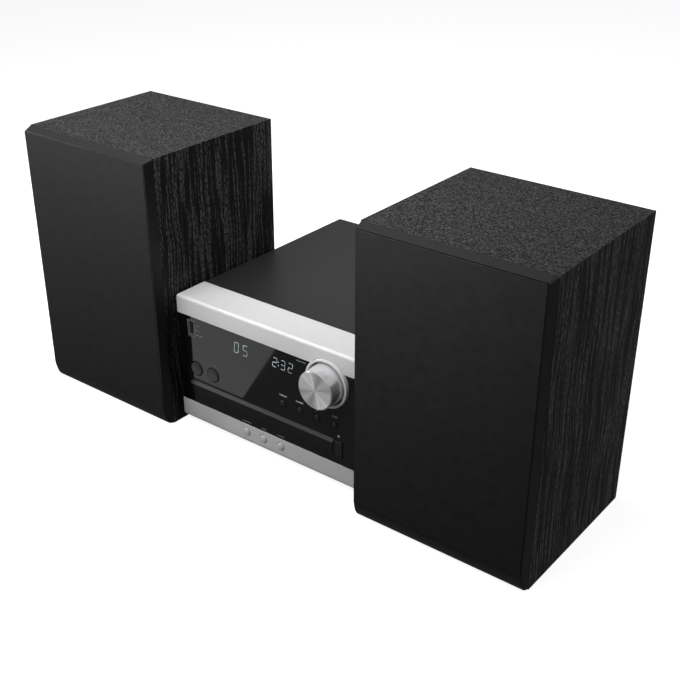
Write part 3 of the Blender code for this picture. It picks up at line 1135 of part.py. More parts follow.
def woofer(unit, side):
    """Full-range driver: steel frame with its magnet, and the moving cone with its coil."""
    at = (WOOFER_X, 0, WOOFER_Z)
    flange_back = GRILLE_DEPTH - GAP
    front = flange_back - WOOFER_FLANGE[1]
    throat = front + 2 * CONE_TRAVEL + 4 * MM
    gap_top, rear = MAGNET_Y
    gap_floor = gap_top + 9 * MM
    pole, well = COIL_RADIUS - COIL_GAP, COIL_RADIUS + COIL_GAP + COIL_WALL / 4
    profile = [(0, gap_top - 3 * MM), (pole, gap_top - 3 * MM), (pole, gap_floor),
               (well, gap_floor), (well, gap_top),
               (MAGNET_RADIUS - SHEET, gap_top), (WOOFER_THROAT, throat),
               (WOOFER_THROAT, front), (WOOFER_RADIUS, front), (WOOFER_RADIUS, flange_back),
               (WOOFER_BASKET + GAP / 2, flange_back), (WOOFER_BASKET, throat + SHEET),
               (MAGNET_RADIUS, gap_top + SHEET), (MAGNET_RADIUS, rear), (0, rear)]
    piece(f"woofer_frame_{side}", "black_steel", unit, turned(profile, "Y", at), smooth=True)

    edge_y, inner = front + 0.8 * MM, CONE_EDGE - SURROUND_WIDTH
    neck_y = gap_top - 8.0 * MM
    half = COIL_WALL / 2
    middle, radius = (CONE_EDGE + inner) / 2, (CONE_EDGE - inner) / 2
    front_face = [(CONE_EDGE, edge_y)]
    front_face += [(middle + radius * math.cos(a), edge_y - SURROUND_ROLL * math.sin(a))
                   for a in (math.radians(d) for d in (45, 90, 135))]
    front_face += [(inner, edge_y), (COIL_RADIUS + 1.5 * MM, neck_y - 1.5 * MM)]
    dome = [(COIL_RADIUS * math.sin(a), neck_y - DUST_CAP * math.cos(a))
            for a in (math.radians(d) for d in (70, 35))]
    coil_back = gap_floor - CONE_TRAVEL - 1.0 * MM
    rear_face = [(0, neck_y - DUST_CAP + CONE_PAPER), (COIL_RADIUS - half, neck_y + CONE_PAPER),
                 (COIL_RADIUS - half, coil_back), (COIL_RADIUS + half, coil_back),
                 (COIL_RADIUS + half, neck_y + CONE_PAPER), (inner - CONE_PAPER, edge_y + 1.5 * CONE_PAPER),
                 (CONE_EDGE, edge_y + 1.2 * CONE_PAPER)]
    profile = [(0, neck_y - DUST_CAP)] + dome[::-1] + front_face[::-1]
    profile += rear_face[::-1]
    piece(f"woofer_cone_{side}", "cone_paper", unit, turned(profile, "Y", at), at, smooth=True)


# ---------------------------------------------------------------- assembly
def receiver():
    """The CD receiver, all on one empty."""
    unit = unit_empty("receiver", MAIN_ORIGIN)
    for build in (top_trim, bottom_trim, display_window, front_panel, knob_ring, volume_control,
                  push_buttons, front_board, display_module, usb_socket, bottom_chassis, top_cover,
                  rear_panel, feet, board_shelf, main_board, power_board, transformer, heat_sink,
                  mains_inlet, antenna_jack, speaker_sockets, tray_door, cd_tray, loading_gear,
                  loading_motor, loader_frame, traverse_base, guide_rod, laser_pickup, spindle_motor,
                  turntable, clamp_bridge, clamp_puck):
        build(unit)


def speaker(side):
    """One speaker, beside the receiver and a little ahead of it."""
    offset = MAIN_WIDTH / 2 + SPEAKER_SPACING
    x = offset if side == "right" else -offset - SPEAKER_WIDTH
    unit = unit_empty(f"speaker_{side}", Vector((x, MAIN_ORIGIN.y - SPEAKER_FORWARD[side], 0)))
    for build in (cabinet, grille, woofer, port_panel):
        build(unit, side)


for old in list(bpy.data.objects):
    bpy.data.objects.remove(old)
receiver()
speaker("left")
speaker("right")
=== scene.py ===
"""Mini hifi system: the looks of a CD receiver standing between two bass-reflex speakers.

Everything is in metres, +Z up, the front of the set faces -Y. Places and sizes come from the
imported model's boxes; the small sizes below are those of the finish on top of it.
"""

import json
import math

import bmesh
import bpy
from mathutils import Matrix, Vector

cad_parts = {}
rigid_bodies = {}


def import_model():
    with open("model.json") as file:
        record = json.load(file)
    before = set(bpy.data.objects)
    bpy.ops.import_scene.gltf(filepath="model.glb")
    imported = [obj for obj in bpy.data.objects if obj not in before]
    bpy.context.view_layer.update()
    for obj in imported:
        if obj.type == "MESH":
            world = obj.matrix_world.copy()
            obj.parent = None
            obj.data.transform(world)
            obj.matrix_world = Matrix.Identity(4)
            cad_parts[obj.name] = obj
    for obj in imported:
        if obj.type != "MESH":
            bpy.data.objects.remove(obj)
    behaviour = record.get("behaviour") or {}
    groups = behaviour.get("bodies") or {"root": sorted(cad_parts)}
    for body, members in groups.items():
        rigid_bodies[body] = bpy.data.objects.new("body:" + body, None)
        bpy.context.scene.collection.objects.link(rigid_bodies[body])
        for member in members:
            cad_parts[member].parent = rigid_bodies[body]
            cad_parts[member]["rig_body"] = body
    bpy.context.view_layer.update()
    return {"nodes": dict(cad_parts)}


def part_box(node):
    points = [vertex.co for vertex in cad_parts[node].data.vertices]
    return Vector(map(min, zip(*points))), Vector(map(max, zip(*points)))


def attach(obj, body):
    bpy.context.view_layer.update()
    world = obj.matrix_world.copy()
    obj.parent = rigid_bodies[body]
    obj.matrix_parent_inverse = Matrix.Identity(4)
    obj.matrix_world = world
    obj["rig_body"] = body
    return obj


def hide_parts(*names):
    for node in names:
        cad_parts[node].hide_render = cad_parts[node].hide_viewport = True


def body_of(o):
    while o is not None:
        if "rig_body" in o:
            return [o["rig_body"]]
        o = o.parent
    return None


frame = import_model()

MM = 0.001

# ---------------------------------------------------------------- camera, light and floor
CAMERA_PLACE = (0.48313, -0.62800, 0.47646)
CAMERA_TURN = (62.487, -0.057, 37.918)         # degrees
CAMERA_LENS = 58.40                            # mm, on a 36 mm wide sensor


def camera():
    """Camera above the right front corner of the set."""
    data = bpy.data.cameras.new("camera")
    data.lens, data.sensor_width = CAMERA_LENS, 36.0
    view = bpy.data.objects.new("camera", data)
    view.location = CAMERA_PLACE
    view.rotation_euler = [math.radians(a) for a in CAMERA_TURN]
    bpy.context.scene.collection.objects.link(view)
    bpy.context.scene.camera = view


def linear(code):
    """sRGB hex code to linear RGBA."""
    channels = [int(code[i:i + 2], 16) / 255 for i in (0, 2, 4)]
    return [c / 12.92 if c <= 0.04045 else ((c + 0.055) / 1.055) ** 2.4 for c in channels] + [1.0]


def add(tree, kind, inputs=None, **settings):
    """Add a node. Inputs maps a socket's name or number to a value or to another node's output."""
    node = tree.nodes.new(kind)
    for key, value in settings.items():
        setattr(node, key, value)
    for key, value in (inputs or {}).items():
        if isinstance(value, bpy.types.NodeSocket):
            tree.links.new(value, node.inputs[key])
        else:
            node.inputs[key].default_value = value
    return node


def softbox(name, place, aim, size, power, spread=180):
    """Rectangular studio lamp pointed at aim; a grid narrows its spread, in degrees."""
    lamp = bpy.data.lights.new(name, "AREA")
    lamp.shape = "RECTANGLE"
    lamp.size, lamp.size_y = size
    lamp.energy, lamp.spread = power, math.radians(spread)
    stand = bpy.data.objects.new(name, lamp)
    stand.visible_camera = False
    stand.location = place
    stand.rotation_euler = (Vector(aim) - Vector(place)).to_track_quat("-Z", "Y").to_euler()
    bpy.context.scene.collection.objects.link(stand)
    return stand


def card(name, corners, strength):
    """Flat lit reflector, seen only in reflections."""
    mesh = bpy.data.meshes.new(name)
    mesh.from_pydata(corners, [], [range(len(corners))])
    panel = bpy.data.objects.new(name, mesh)
    glow = bpy.data.materials.new(name)
    glow.use_nodes = True
    glow.node_tree.nodes.clear()
    light = add(glow.node_tree, "ShaderNodeEmission", {"Strength": strength})
    add(glow.node_tree, "ShaderNodeOutputMaterial", {"Surface": light.outputs[0]})
    mesh.materials.append(glow)
    bpy.context.scene.collection.objects.link(panel)
    for way in ("camera", "diffuse", "shadow", "transmission", "volume_scatter"):
        setattr(panel, f"visible_{way}", False)


def surround(tree, height, *stops):
    """Backdrop whose brightness follows height: (place from nadir to zenith, code) pairs."""
    ramp = add(tree, "ShaderNodeValToRGB", {"Fac": height})
    while len(ramp.color_ramp.elements) < len(stops):
        ramp.color_ramp.elements.new(1.0)
    while len(ramp.color_ramp.elements) > len(stops):
        ramp.color_ramp.elements.remove(ramp.color_ramp.elements[-1])
    for stop, (place, code) in zip(ramp.color_ramp.elements, stops):
        stop.position, stop.color = place, linear(code)
    return add(tree, "ShaderNodeBackground", {"Color": ramp.outputs[0]}).outputs[0]


def backdrop():
    """White to the camera, and two more surrounds: one lights the pieces and one is mirrored in them."""
    scene = bpy.context.scene
    scene.view_settings.view_transform = "Standard"
    world = bpy.data.worlds.new("studio")
    world.use_nodes = True
    tree = world.node_tree
    tree.nodes.clear()
    way = add(tree, "ShaderNodeTexCoord")
    up = add(tree, "ShaderNodeSeparateXYZ", {0: way.outputs["Generated"]})
    height = add(tree, "ShaderNodeMapRange", {0: up.outputs["Z"], 1: -1.0, 2: 1.0}).outputs[0]
    fill = surround(tree, height, (0.44, "969696"), (0.52, "202020"), (0.85, "4C4C4C"))
    mirrored = surround(tree, height, (0.5, "6C6C6C"), (0.8, "A4A4A4"))
    ray = add(tree, "ShaderNodeLightPath")
    both = add(tree, "ShaderNodeMixShader", {0: ray.outputs["Is Glossy Ray"], 1: fill, 2: mirrored})
    paper_wall = surround(tree, height, (0.5, "FFFFFF"))
    seen = add(tree, "ShaderNodeMixShader", {0: ray.outputs["Is Camera Ray"], 1: both.outputs[0],
                                             2: paper_wall})
    add(tree, "ShaderNodeOutputWorld", {"Surface": seen.outputs[0]})
    scene.world = world


def white_floor():
    """Glowing paper that takes soft shadows and neither lights the pieces nor shows in them."""
    mesh = bpy.data.meshes.new("floor")
    reach = 12.0
    mesh.from_pydata([(-reach, -reach, 0), (reach, -reach, 0), (reach, reach, 0), (-reach, reach, 0)],
                     [], [(0, 1, 2, 3)])
    floor = bpy.data.objects.new("floor", mesh)
    paper = bpy.data.materials.new("white_backdrop_paper")
    paper.use_nodes = True
    shader = paper.node_tree.nodes["Principled BSDF"]
    shader.inputs["Base Color"].default_value = linear("B0B0B0")
    shader.inputs["Roughness"].default_value = 0.9
    shader.inputs["Emission Color"].default_value = linear("FFFFFF")
    shader.inputs["Emission Strength"].default_value = 0.86
    mesh.materials.append(paper)
    bpy.context.scene.collection.objects.link(floor)
    floor.visible_diffuse = floor.visible_glossy = False


def upright(x, y, z):
    """Corners of a card that stands across y, from its spans along x and z."""
    return [(x[1], y, z[0]), (x[1], y, z[1]), (x[0], y, z[1]), (x[0], y, z[0])]


def lamps():
    """Softboxes (metres and watts), a gridded strip over the fronts, and cards for the reflections."""
    softbox("overhead_softbox", (-0.6, -0.2, 1.4), (0.0, 0.0, 0.1), (0.9, 0.9), 8.5)
    softbox("rear_softbox", (1.1, 1.5, 0.7), (0.0, 0.1, 0.1), (0.8, 0.8), 4)
    front = softbox("front_softbox", (-0.75, -1.5, 0.95), (0.0, -0.1, 0.15), (0.8, 0.8), 1)
    strip = softbox("front_strip", (-0.24, -0.31, 0.46), (-0.24, -0.01, 0.25), (0.9, 0.08), 2.4, spread=80)
    front.visible_glossy = strip.visible_glossy = False     # they draw no bright line along the edges
    softbox("side_strip", (-0.95, -0.42, 0.22), (0.05, -0.11, 0.09), (0.10, 0.5), 3)
    softbox("knob_softbox", (0.65, 0.35, 0.75), (0.05, -0.1, 0.09), (0.22, 0.22), 1.5)
    # its slanting edge is the one that the window mirrors
    floor_edge = ((-0.077, -0.148), (-0.113, -0.231), (-0.25, -0.56), (-0.7, -0.56), (-0.7, -0.15))
    card("floor_card", [(x, y, 0.001) for x, y in floor_edge], 0.9)
    card("ledge_card", upright((-0.75, -0.44), -0.47, (0.16, 0.30)), 4.5)
    card("edge_card", upright((-0.95, -0.30), -1.0, (0.34, 0.48)), 2.5)


# ---------------------------------------------------------------- shapes
# each axis: the two directions across it, then the axis itself
AXES = {
    "X": (Vector((0, 1, 0)), Vector((0, 0, 1)), Vector((1, 0, 0))),
    "Y": (Vector((1, 0, 0)), Vector((0, 0, 1)), Vector((0, 1, 0))),
    "Z": (Vector((1, 0, 0)), Vector((0, 1, 0)), Vector((0, 0, 1))),
}


def loft(rings, closed=False):
    """Solid through rings of points; a one-point ring is a tip, closed joins last to first."""
    shape = bmesh.new()
    loops = [[shape.verts.new(point) for point in ring] for ring in rings]
    pairs = list(zip(loops, loops[1:]))
    if closed:
        pairs.append((loops[-1], loops[0]))
    for one, two in pairs:
        for i in range(max(len(one), len(two))):
            corners = (one[i % len(one)], one[(i + 1) % len(one)],
                       two[(i + 1) % len(two)], two[i % len(two)])
            shape.faces.new(list(dict.fromkeys(corners)))
    if not closed:
        for loop in (loops[0], loops[-1]):
            if len(loop) > 2:
                shape.faces.new(loop)
    bmesh.ops.recalc_face_normals(shape, faces=shape.faces)
    return shape


def prism(outline, axis, span):
    """Extrude an outline of (across, up) points along an axis."""
    across, up, along = AXES[axis]
    return loft([[across * u + up * v + along * t for u, v in outline] for t in span])


def box(x, y, z):
    """Block from its three (low, high) spans."""
    return prism([(x[0], y[0]), (x[1], y[0]), (x[1], y[1]), (x[0], y[1])], "Z", z)


def turned(profile, axis, centre, segments=96):
    """Turn (radius, place along the axis) points; off-axis profiles close into a ring."""
    across, up, along = AXES[axis]
    rings = []
    for radius, place in profile:
        middle = Vector(centre) + along * place
        if radius == 0:
            rings.append([middle])
            continue
        turns = [2 * math.pi * i / segments for i in range(segments)]
        rings.append([middle + (across * math.cos(a) + up * math.sin(a)) * radius for a in turns])
    return loft(rings, closed=all(radius > 0 for radius, place in profile))


def arc(centre, radius, start, end, steps=6):
    """Points of an arc in a profile, from one angle to another in degrees."""
    angles = [math.radians(start + (end - start) * i / steps) for i in range(steps + 1)]
    return [(centre[0] + radius * math.cos(a), centre[1] + radius * math.sin(a)) for a in angles]


def rod(axis, centre, radius, span, segments=48):
    """Cylinder along an axis through centre."""
    return turned([(0, span[0]), (radius, span[0]), (radius, span[1]), (0, span[1])],
                  axis, centre, segments)


def rounded(u, v, radius, steps=8):
    """Outline of a rectangle with round corners."""
    points = []
    for cu, cv, start in ((u[1] - radius, v[0] + radius, -90), (u[1] - radius, v[1] - radius, 0),
                          (u[0] + radius, v[1] - radius, 90), (u[0] + radius, v[0] + radius, 180)):
        points += arc((cu, cv), radius, start, start + 90, steps)
    return points


def grown(span, margin):
    """A span with a margin added at both ends."""
    return span[0] - margin, span[1] + margin


def around(middle, size):
    """The span of a size about a middle."""
    return middle - size / 2, middle + size / 2


def spans(node):
    """A CAD node's (low, high) along x, y and z."""
    return list(zip(*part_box(node)))


def centre(node):
    """Middle of a CAD node's box."""
    return tuple((low + high) / 2 for low, high in spans(node))


def axis_of(node):
    """Where a node's front-to-back axis crosses y = 0."""
    x, y, z = centre(node)
    return x, 0, z


def radius_of(node):
    """Half of a node's width."""
    x = spans(node)[0]
    return (x[1] - x[0]) / 2


# ---------------------------------------------------------------- pieces
def draft(name, shapes, material):
    """New object from shapes, not yet riding on anything."""
    together = bmesh.new()
    for shape in shapes:
        part = bpy.data.meshes.new("part")
        shape.to_mesh(part)
        shape.free()
        together.from_mesh(part)
        bpy.data.meshes.remove(part)
    mesh = bpy.data.meshes.new(name)
    together.to_mesh(mesh)
    together.free()
    mesh.materials.append(material)
    made = bpy.data.objects.new(name, mesh)
    bpy.context.scene.collection.objects.link(made)
    return made


def copied(node, name, material):
    """New object from a CAD node's solid, with its flat faces whole again."""
    shape = bmesh.new()
    shape.from_mesh(frame["nodes"][node].data)
    bmesh.ops.remove_doubles(shape, verts=shape.verts, dist=0.001 * MM)
    bmesh.ops.dissolve_limit(shape, angle_limit=math.radians(1), verts=shape.verts, edges=shape.edges)
    return draft(name, [shape], material)


def applied(piece):
    """Turn a piece's modifiers into its plain mesh."""
    graph = bpy.context.evaluated_depsgraph_get()
    mesh = bpy.data.meshes.new_from_object(piece.evaluated_get(graph), preserve_all_data_layers=True,
                                           depsgraph=graph)
    piece.modifiers.clear()
    before, piece.data = piece.data, mesh
    bpy.data.meshes.remove(before)
    return piece


def carved(piece, shapes, operation="DIFFERENCE"):
    """Cut the shapes out of a piece, or join them to it."""
    cutter = draft("cutter", shapes, piece.data.materials[0])
    boolean = piece.modifiers.new("boolean", "BOOLEAN")
    boolean.operation, boolean.solver, boolean.object = operation, "EXACT", cutter
    applied(piece)
    bpy.data.meshes.remove(cutter.data)
    return piece


def broken(piece, width, segments=2, angle=30):
    """Round the sharp edges, as a mould or a press leaves them."""
    bevel = piece.modifiers.new("bevel", "BEVEL")
    bevel.width, bevel.segments = width, segments
    bevel.limit_method, bevel.angle_limit = "ANGLE", math.radians(angle)
    return applied(piece)


def settle(piece, body, slot, *nodes):
    """Shade a finished piece, put it on its body and let it stand for its CAD nodes."""
    piece.data.shade_smooth()
    piece.data.set_sharp_from_angle(angle=math.radians(32))
    weighted = piece.modifiers.new("weighted", "WEIGHTED_NORMAL")
    weighted.keep_sharp = True
    applied(piece)
    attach(piece, body)
    if nodes:
        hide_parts(*nodes)
    return piece


def finished(node, name, material, slot, edge, segments=2, angle=50, cuts=()):
    """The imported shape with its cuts, broken edges (in mm) and own finish, standing for its node."""
    piece = copied(node, name, material)
    if cuts:
        carved(piece, cuts)
    return settle(broken(piece, edge * MM, segments, angle), body_of(frame["nodes"][node])[0], slot, node)


# ---------------------------------------------------------------- materials
def surface(name, code, roughness, metallic=0.0, **sockets):
    """Material with its tree, its shader and the piece's own coordinates."""
    made = bpy.data.materials.new(name)
    made.use_nodes = True
    tree = made.node_tree
    shader = tree.nodes["Principled BSDF"]
    shader.inputs["Base Color"].default_value = linear(code)
    shader.inputs["Roughness"].default_value = roughness
    shader.inputs["Metallic"].default_value = metallic
    for socket, value in sockets.items():
        shader.inputs[socket.replace("_", " ")].default_value = value
    return made, tree, shader, add(tree, "ShaderNodeTexCoord").outputs["Object"]


def tinted(tree, shader, factor, dark, light):
    """Base colour between two codes, by a pattern."""
    mix = add(tree, "ShaderNodeMix", {0: factor}, data_type="RGBA")
    mix.inputs[6].default_value, mix.inputs[7].default_value = linear(dark), linear(light)
    tree.links.new(mix.outputs[2], shader.inputs["Base Color"])


def scalar(tree, operation, *values):
    """Sum, product or other arithmetic on numbers or sockets."""
    return add(tree, "ShaderNodeMath", dict(enumerate(values)), operation=operation).outputs[0]


def vector(tree, operation, *values):
    """The same on vectors."""
    return add(tree, "ShaderNodeVectorMath", dict(enumerate(values)), operation=operation).outputs[0]


def mapped(tree, factor, source=(0.0, 1.0), result=(0.0, 1.0)):
    """Factor stretched from one range to another."""
    return add(tree, "ShaderNodeMapRange", dict(enumerate((factor, *source, *result)))).outputs[0]


def embossed(tree, shader, height, strength, depth, **settings):
    """Relief of a depth in mm."""
    bump = add(tree, "ShaderNodeBump", {"Height": height, "Strength": strength, "Distance": depth * MM},
               **settings)
    tree.links.new(bump.outputs[0], shader.inputs["Normal"])


def sheened(tree, shader, factor, low, high, source=(0.0, 1.0)):
    """Roughness that goes from low to high with a pattern."""
    tree.links.new(mapped(tree, factor, source, (low, high)), shader.inputs["Roughness"])


def every(size):
    """Scale of a pattern with one cell in a size in mm."""
    return 1 / (size * MM)


def noise(tree, place, scale, detail, **inputs):
    """Cloudy pattern."""
    settings = {"Vector": place, "Scale": scale, "Detail": detail, **inputs}
    return add(tree, "ShaderNodeTexNoise", settings).outputs[0]


def crystals(tree, place, size):
    """Cells of a size in mm, each of its own tone."""
    return add(tree, "ShaderNodeTexVoronoi", {"Vector": place, "Scale": every(size)}).outputs["Color"]


def stretched(tree, place, *sizes):
    """Coordinates in which a pattern's cell has these sizes in mm along x, y and z."""
    scale = tuple(every(size) for size in sizes)
    return add(tree, "ShaderNodeMapping", {"Vector": place, "Scale": scale}).outputs[0]


WAVE_PERIOD = 0.314                   # from crest to crest of the wave texture at scale 1


def waves(tree, place, pitch, distortion, detail, **settings):
    """Bands or rings a pitch apart, in mm."""
    inputs = {"Vector": place, "Scale": WAVE_PERIOD / (pitch * MM), "Distortion": distortion,
              "Detail": detail}
    return add(tree, "ShaderNodeTexWave", inputs, **settings).outputs["Fac"]


def moulded_plastic(name, code, light, roughness, grain, depth=0.02, **sockets):
    """Injection-moulded ABS from a spark-eroded mould: even satin with a fine pebble (grain in mm)."""
    made, tree, shader, place = surface(name, code, roughness, IOR=1.54, **sockets)
    embossed(tree, shader, noise(tree, place, every(grain), 2.0), 1.0, depth)
    flow = noise(tree, place, 14.0, 3.0)
    tinted(tree, shader, flow, code, light)
    sheened(tree, shader, flow, roughness - 0.05, roughness + 0.06)
    return made


def silver_lacquer():
    """Metallic lacquer sprayed on ABS: aluminium flakes under a clear coat, silky and pale grey."""
    made, tree, shader, place = surface("silver_lacquer", "D0D0D1", 0.58, 0.25, Coat_Weight=0.05,
                                        Coat_Roughness=0.5)
    # flakes are 0.03 mm across, drawn 0.35 mm so that their sparkle shows
    flakes = crystals(tree, place, 0.35)
    tinted(tree, shader, flakes, "C1C1C2", "D6D6D7")
    embossed(tree, shader, flakes, 0.25, 0.01)
    sheened(tree, shader, flakes, 0.54, 0.62)
    return made


def smoked_acrylic():
    """Cast acrylic tinted black and polished: a mirror-like skin with only wiping haze on it."""
    made, tree, shader, place = surface("smoked_acrylic", "0B0B0C", 0.04, IOR=1.49)
    haze = noise(tree, place, 22.0, 4.0)
    sheened(tree, shader, haze, 0.03, 0.09, (0.35, 0.75))
    tinted(tree, shader, haze, "0A0A0B", "0E0E0F")
    return made


def gloss_abs():
    """Black ABS from a polished mould, as on the tray door: nearly as bright as the window."""
    made, tree, shader, place = surface("gloss_abs", "08080A", 0.10, IOR=1.54)
    flow = noise(tree, place, 30.0, 2.0)
    sheened(tree, shader, flow, 0.07, 0.14)
    tinted(tree, shader, flow, "070708", "0C0C0E")
    return made


def textured_paint():
    """Baked vinyl paint on folded steel: satin charcoal with a fine even tooth."""
    made, tree, shader, place = surface("textured_paint", "212122", 0.42, IOR=1.5)
    embossed(tree, shader, noise(tree, place, every(0.5), 1.0), 0.6, 0.02)
    patch = noise(tree, place, 9.0, 2.0)
    tinted(tree, shader, patch, "1C1C1D", "232324")
    sheened(tree, shader, patch, 0.36, 0.47)
    return made


def ash_foil():
    """Vinyl foil embossed and printed as black ash, folded round a cabinet: long wavy ridges up its
    sides and flecks on its top, with short open pores between them."""
    made, tree, shader, place = surface("ash_foil", "1A1918", 0.55, IOR=1.5, Specular_IOR_Level=0.2)
    sway = mapped(tree, noise(tree, place, 14.0, 2.0), result=(-6 * MM, 6 * MM))
    wavy = vector(tree, "ADD", place, add(tree, "ShaderNodeCombineXYZ", {"Y": sway}).outputs[0])
    # year rings are about 4 mm apart and 100 mm long up the sides
    rings = noise(tree, stretched(tree, wavy, 2.6, 1.8, 60), 1.0, 1.5, Roughness=0.5)
    ridge = mapped(tree, rings, (0.46, 0.58), (0.03, 1.0))
    # the top has an even ground in place of them
    facing = add(tree, "ShaderNodeSeparateXYZ", {0: add(tree, "ShaderNodeTexCoord").outputs["Normal"]})
    on_side = scalar(tree, "ABSOLUTE", facing.outputs["X"])
    ringed = add(tree, "ShaderNodeMix", {0: on_side, 2: 0.46, 3: ridge}, data_type="FLOAT")
    # pores are 0.2 mm, drawn 1 mm wide so that they show, and three times as long up the sides
    pores = noise(tree, stretched(tree, wavy, 1.4, 1.0, 3), 1.0, 1.0)
    height = scalar(tree, "MULTIPLY", ringed.outputs[0], mapped(tree, pores, (0.45, 0.59), (0.08, 1.0)))
    tinted(tree, shader, height, "030303", "504F4E")
    embossed(tree, shader, height, 1.0, 0.3)
    sheened(tree, shader, ridge, 0.62, 0.42)
    return made


def grille_fabric():
    """Polyester grille cloth, woven at 0.6 mm and drawn at 1.1 mm: matt black, of plain weave."""
    made, tree, shader, place = surface("grille_fabric", "2B2B2B", 0.9, Specular_IOR_Level=0.05)
    warp, weft = [waves(tree, place, 1.1, 0.4, 1.0, bands_direction=way) for way in ("X", "Z")]
    fibre = scalar(tree, "ADD", scalar(tree, "MULTIPLY", warp, weft), noise(tree, place, 160.0, 3.0))
    tinted(tree, shader, mapped(tree, fibre, (0.2, 1.4)), "212121", "2E2E2E")
    embossed(tree, shader, fibre, 0.5, 0.06)
    return made


# rays of painted highlight and painted shade across the face, as the spun aluminium's reflection of the lamps
# shows them: angle in degrees, sharpness, brightness
PAINTED_RAYS = ((139, 420, 0.6), (107, 320, 0.6), (125, 14, 0.12), (71, 16, -0.34), (20, 60, -0.22), (0, 30, 0.08),
        (48, 60, 0.08))


def spun_face_with_painted_rays(middle):
    """Aluminium face turned on a lathe: fine rings that draw the light out into rays, and more rays of
    painted highlight and painted shade in its colour.
    """
    made, tree, shader, place = surface("spun_face_with_painted_rays", "E4E4E6", 0.30, 0.55, Anisotropic=0.8)
    centred = vector(tree, "SUBTRACT", place, middle)
    outward = vector(tree, "NORMALIZE", vector(tree, "MULTIPLY", centred, (1.0, 0.0, 1.0)))
    tree.links.new(outward, shader.inputs["Tangent"])
    # the tool's feed is 0.1 mm a turn, drawn at 0.5 mm
    rings = waves(tree, centred, 0.5, 0.3, 2.0, wave_type="RINGS", rings_direction="Y")
    glow = scalar(tree, "MULTIPLY_ADD", rings, 0.10, 0.70)
    # each ray adds painted highlight to the face's colour, or painted shade where its brightness is negative
    for angle, sharpness, brightness in PAINTED_RAYS:
        line = (math.cos(math.radians(angle)), 0.0, math.sin(math.radians(angle)))
        along = add(tree, "ShaderNodeVectorMath", {0: outward, 1: line}, operation="DOT_PRODUCT")
        near = scalar(tree, "ABSOLUTE", along.outputs["Value"])
        glow = scalar(tree, "MULTIPLY_ADD", scalar(tree, "POWER", near, sharpness), brightness, glow)
    tinted(tree, shader, glow, "505052", "FCFCFD")
    return made


def polished_aluminium():
    """Aluminium turned smooth and polished, clear-lacquered: a soft mirror with faint tool rings."""
    made, tree, shader, place = surface("polished_aluminium", "DCDCDE", 0.14, 0.62)
    rings = waves(tree, place, 0.6, 0.5, 2.0, bands_direction="Y")
    sheened(tree, shader, rings, 0.09, 0.16)
    tinted(tree, shader, rings, "D4D4D6", "E2E2E4")
    return made


def zinc_sheet(name="zinc_sheet", dark="8F9194", light="B4B6B9", roughness=0.42):
    """Galvanised steel: cool grey crystals of zinc, each a little lighter or darker."""
    made, tree, shader, place = surface(name, dark, roughness, 0.9)
    spangle = crystals(tree, place, 4)
    tinted(tree, shader, spangle, dark, light)
    sheened(tree, shader, spangle, roughness - 0.08, roughness + 0.08)
    return made


def bright_steel():
    """Ground and nickel-plated steel of shafts, rods and motor cans: fine scratches, quite bright."""
    made, tree, shader, place = surface("bright_steel", "B9BABD", 0.25, 1.0)
    scratch = noise(tree, place, every(0.8), 4.0)
    tinted(tree, shader, scratch, "A6A7AA", "C8C9CC")
    sheened(tree, shader, scratch, 0.18, 0.36)
    return made


def solder_mask():
    """Glass-epoxy board under green solder mask: copper tracks show as paler lines."""
    made, tree, shader, place = surface("solder_mask", "1F4A2C", 0.35, IOR=1.55)
    grid = add(tree, "ShaderNodeTexVoronoi", {"Vector": place, "Scale": every(3.2)},
               feature="DISTANCE_TO_EDGE", distance="EUCLIDEAN")
    track = mapped(tree, grid.outputs["Distance"], (0.10, 0.14))
    tinted(tree, shader, track, "3A7A46", "1B4227")
    embossed(tree, shader, track, 0.4, 0.04, invert=True)
    return made


def enamelled_copper():
    """Copper wire in amber enamel, wound in close turns 0.6 mm apart."""
    made, tree, shader, place = surface("enamelled_copper", "8A4B22", 0.30, 0.85)
    turns = waves(tree, place, 0.6, 0.6, 1.0, bands_direction="Z")
    tinted(tree, shader, turns, "5E2F14", "B26A35")
    embossed(tree, shader, turns, 0.7, 0.15)
    return made


def cured_rubber():
    """Black nitrile rubber of feet and belt: dull, with a chalky bloom."""
    made, tree, shader, place = surface("cured_rubber", "121212", 0.72, IOR=1.52)
    bloom = noise(tree, place, 120.0, 5.0)
    tinted(tree, shader, bloom, "0E0E0E", "1C1C1B")
    embossed(tree, shader, bloom, 0.4, 0.03)
    return made


def pulp_cone():
    """Loudspeaker cone pressed from paper pulp: charcoal, fibrous and quite matt."""
    made, tree, shader, place = surface("pulp_cone", "1E1D1C", 0.80)
    fibre = noise(tree, place, every(1.3), 6.0, Distortion=1.5)
    tinted(tree, shader, fibre, "151413", "2B2A28")
    embossed(tree, shader, fibre, 0.6, 0.08)
    return made


def lit_segment():
    """Lit display segments: pale blue-white glow, a little uneven along each stroke."""
    made, tree, shader, place = surface("lit_segment", "C8DCE6", 0.6)
    level = mapped(tree, noise(tree, place, 900.0, 1.0), result=(0.12, 0.20))
    shader.inputs["Emission Color"].default_value = linear("BFD8E6")
    tree.links.new(level, shader.inputs["Emission Strength"])
    return made


def screen_ink(name, dark, light):
    """Epoxy ink printed through a screen: flat and a little uneven in its cover."""
    made, tree, shader, place = surface(name, light, 0.55)
    tinted(tree, shader, noise(tree, place, 1500.0, 2.0), dark, light)
    return made


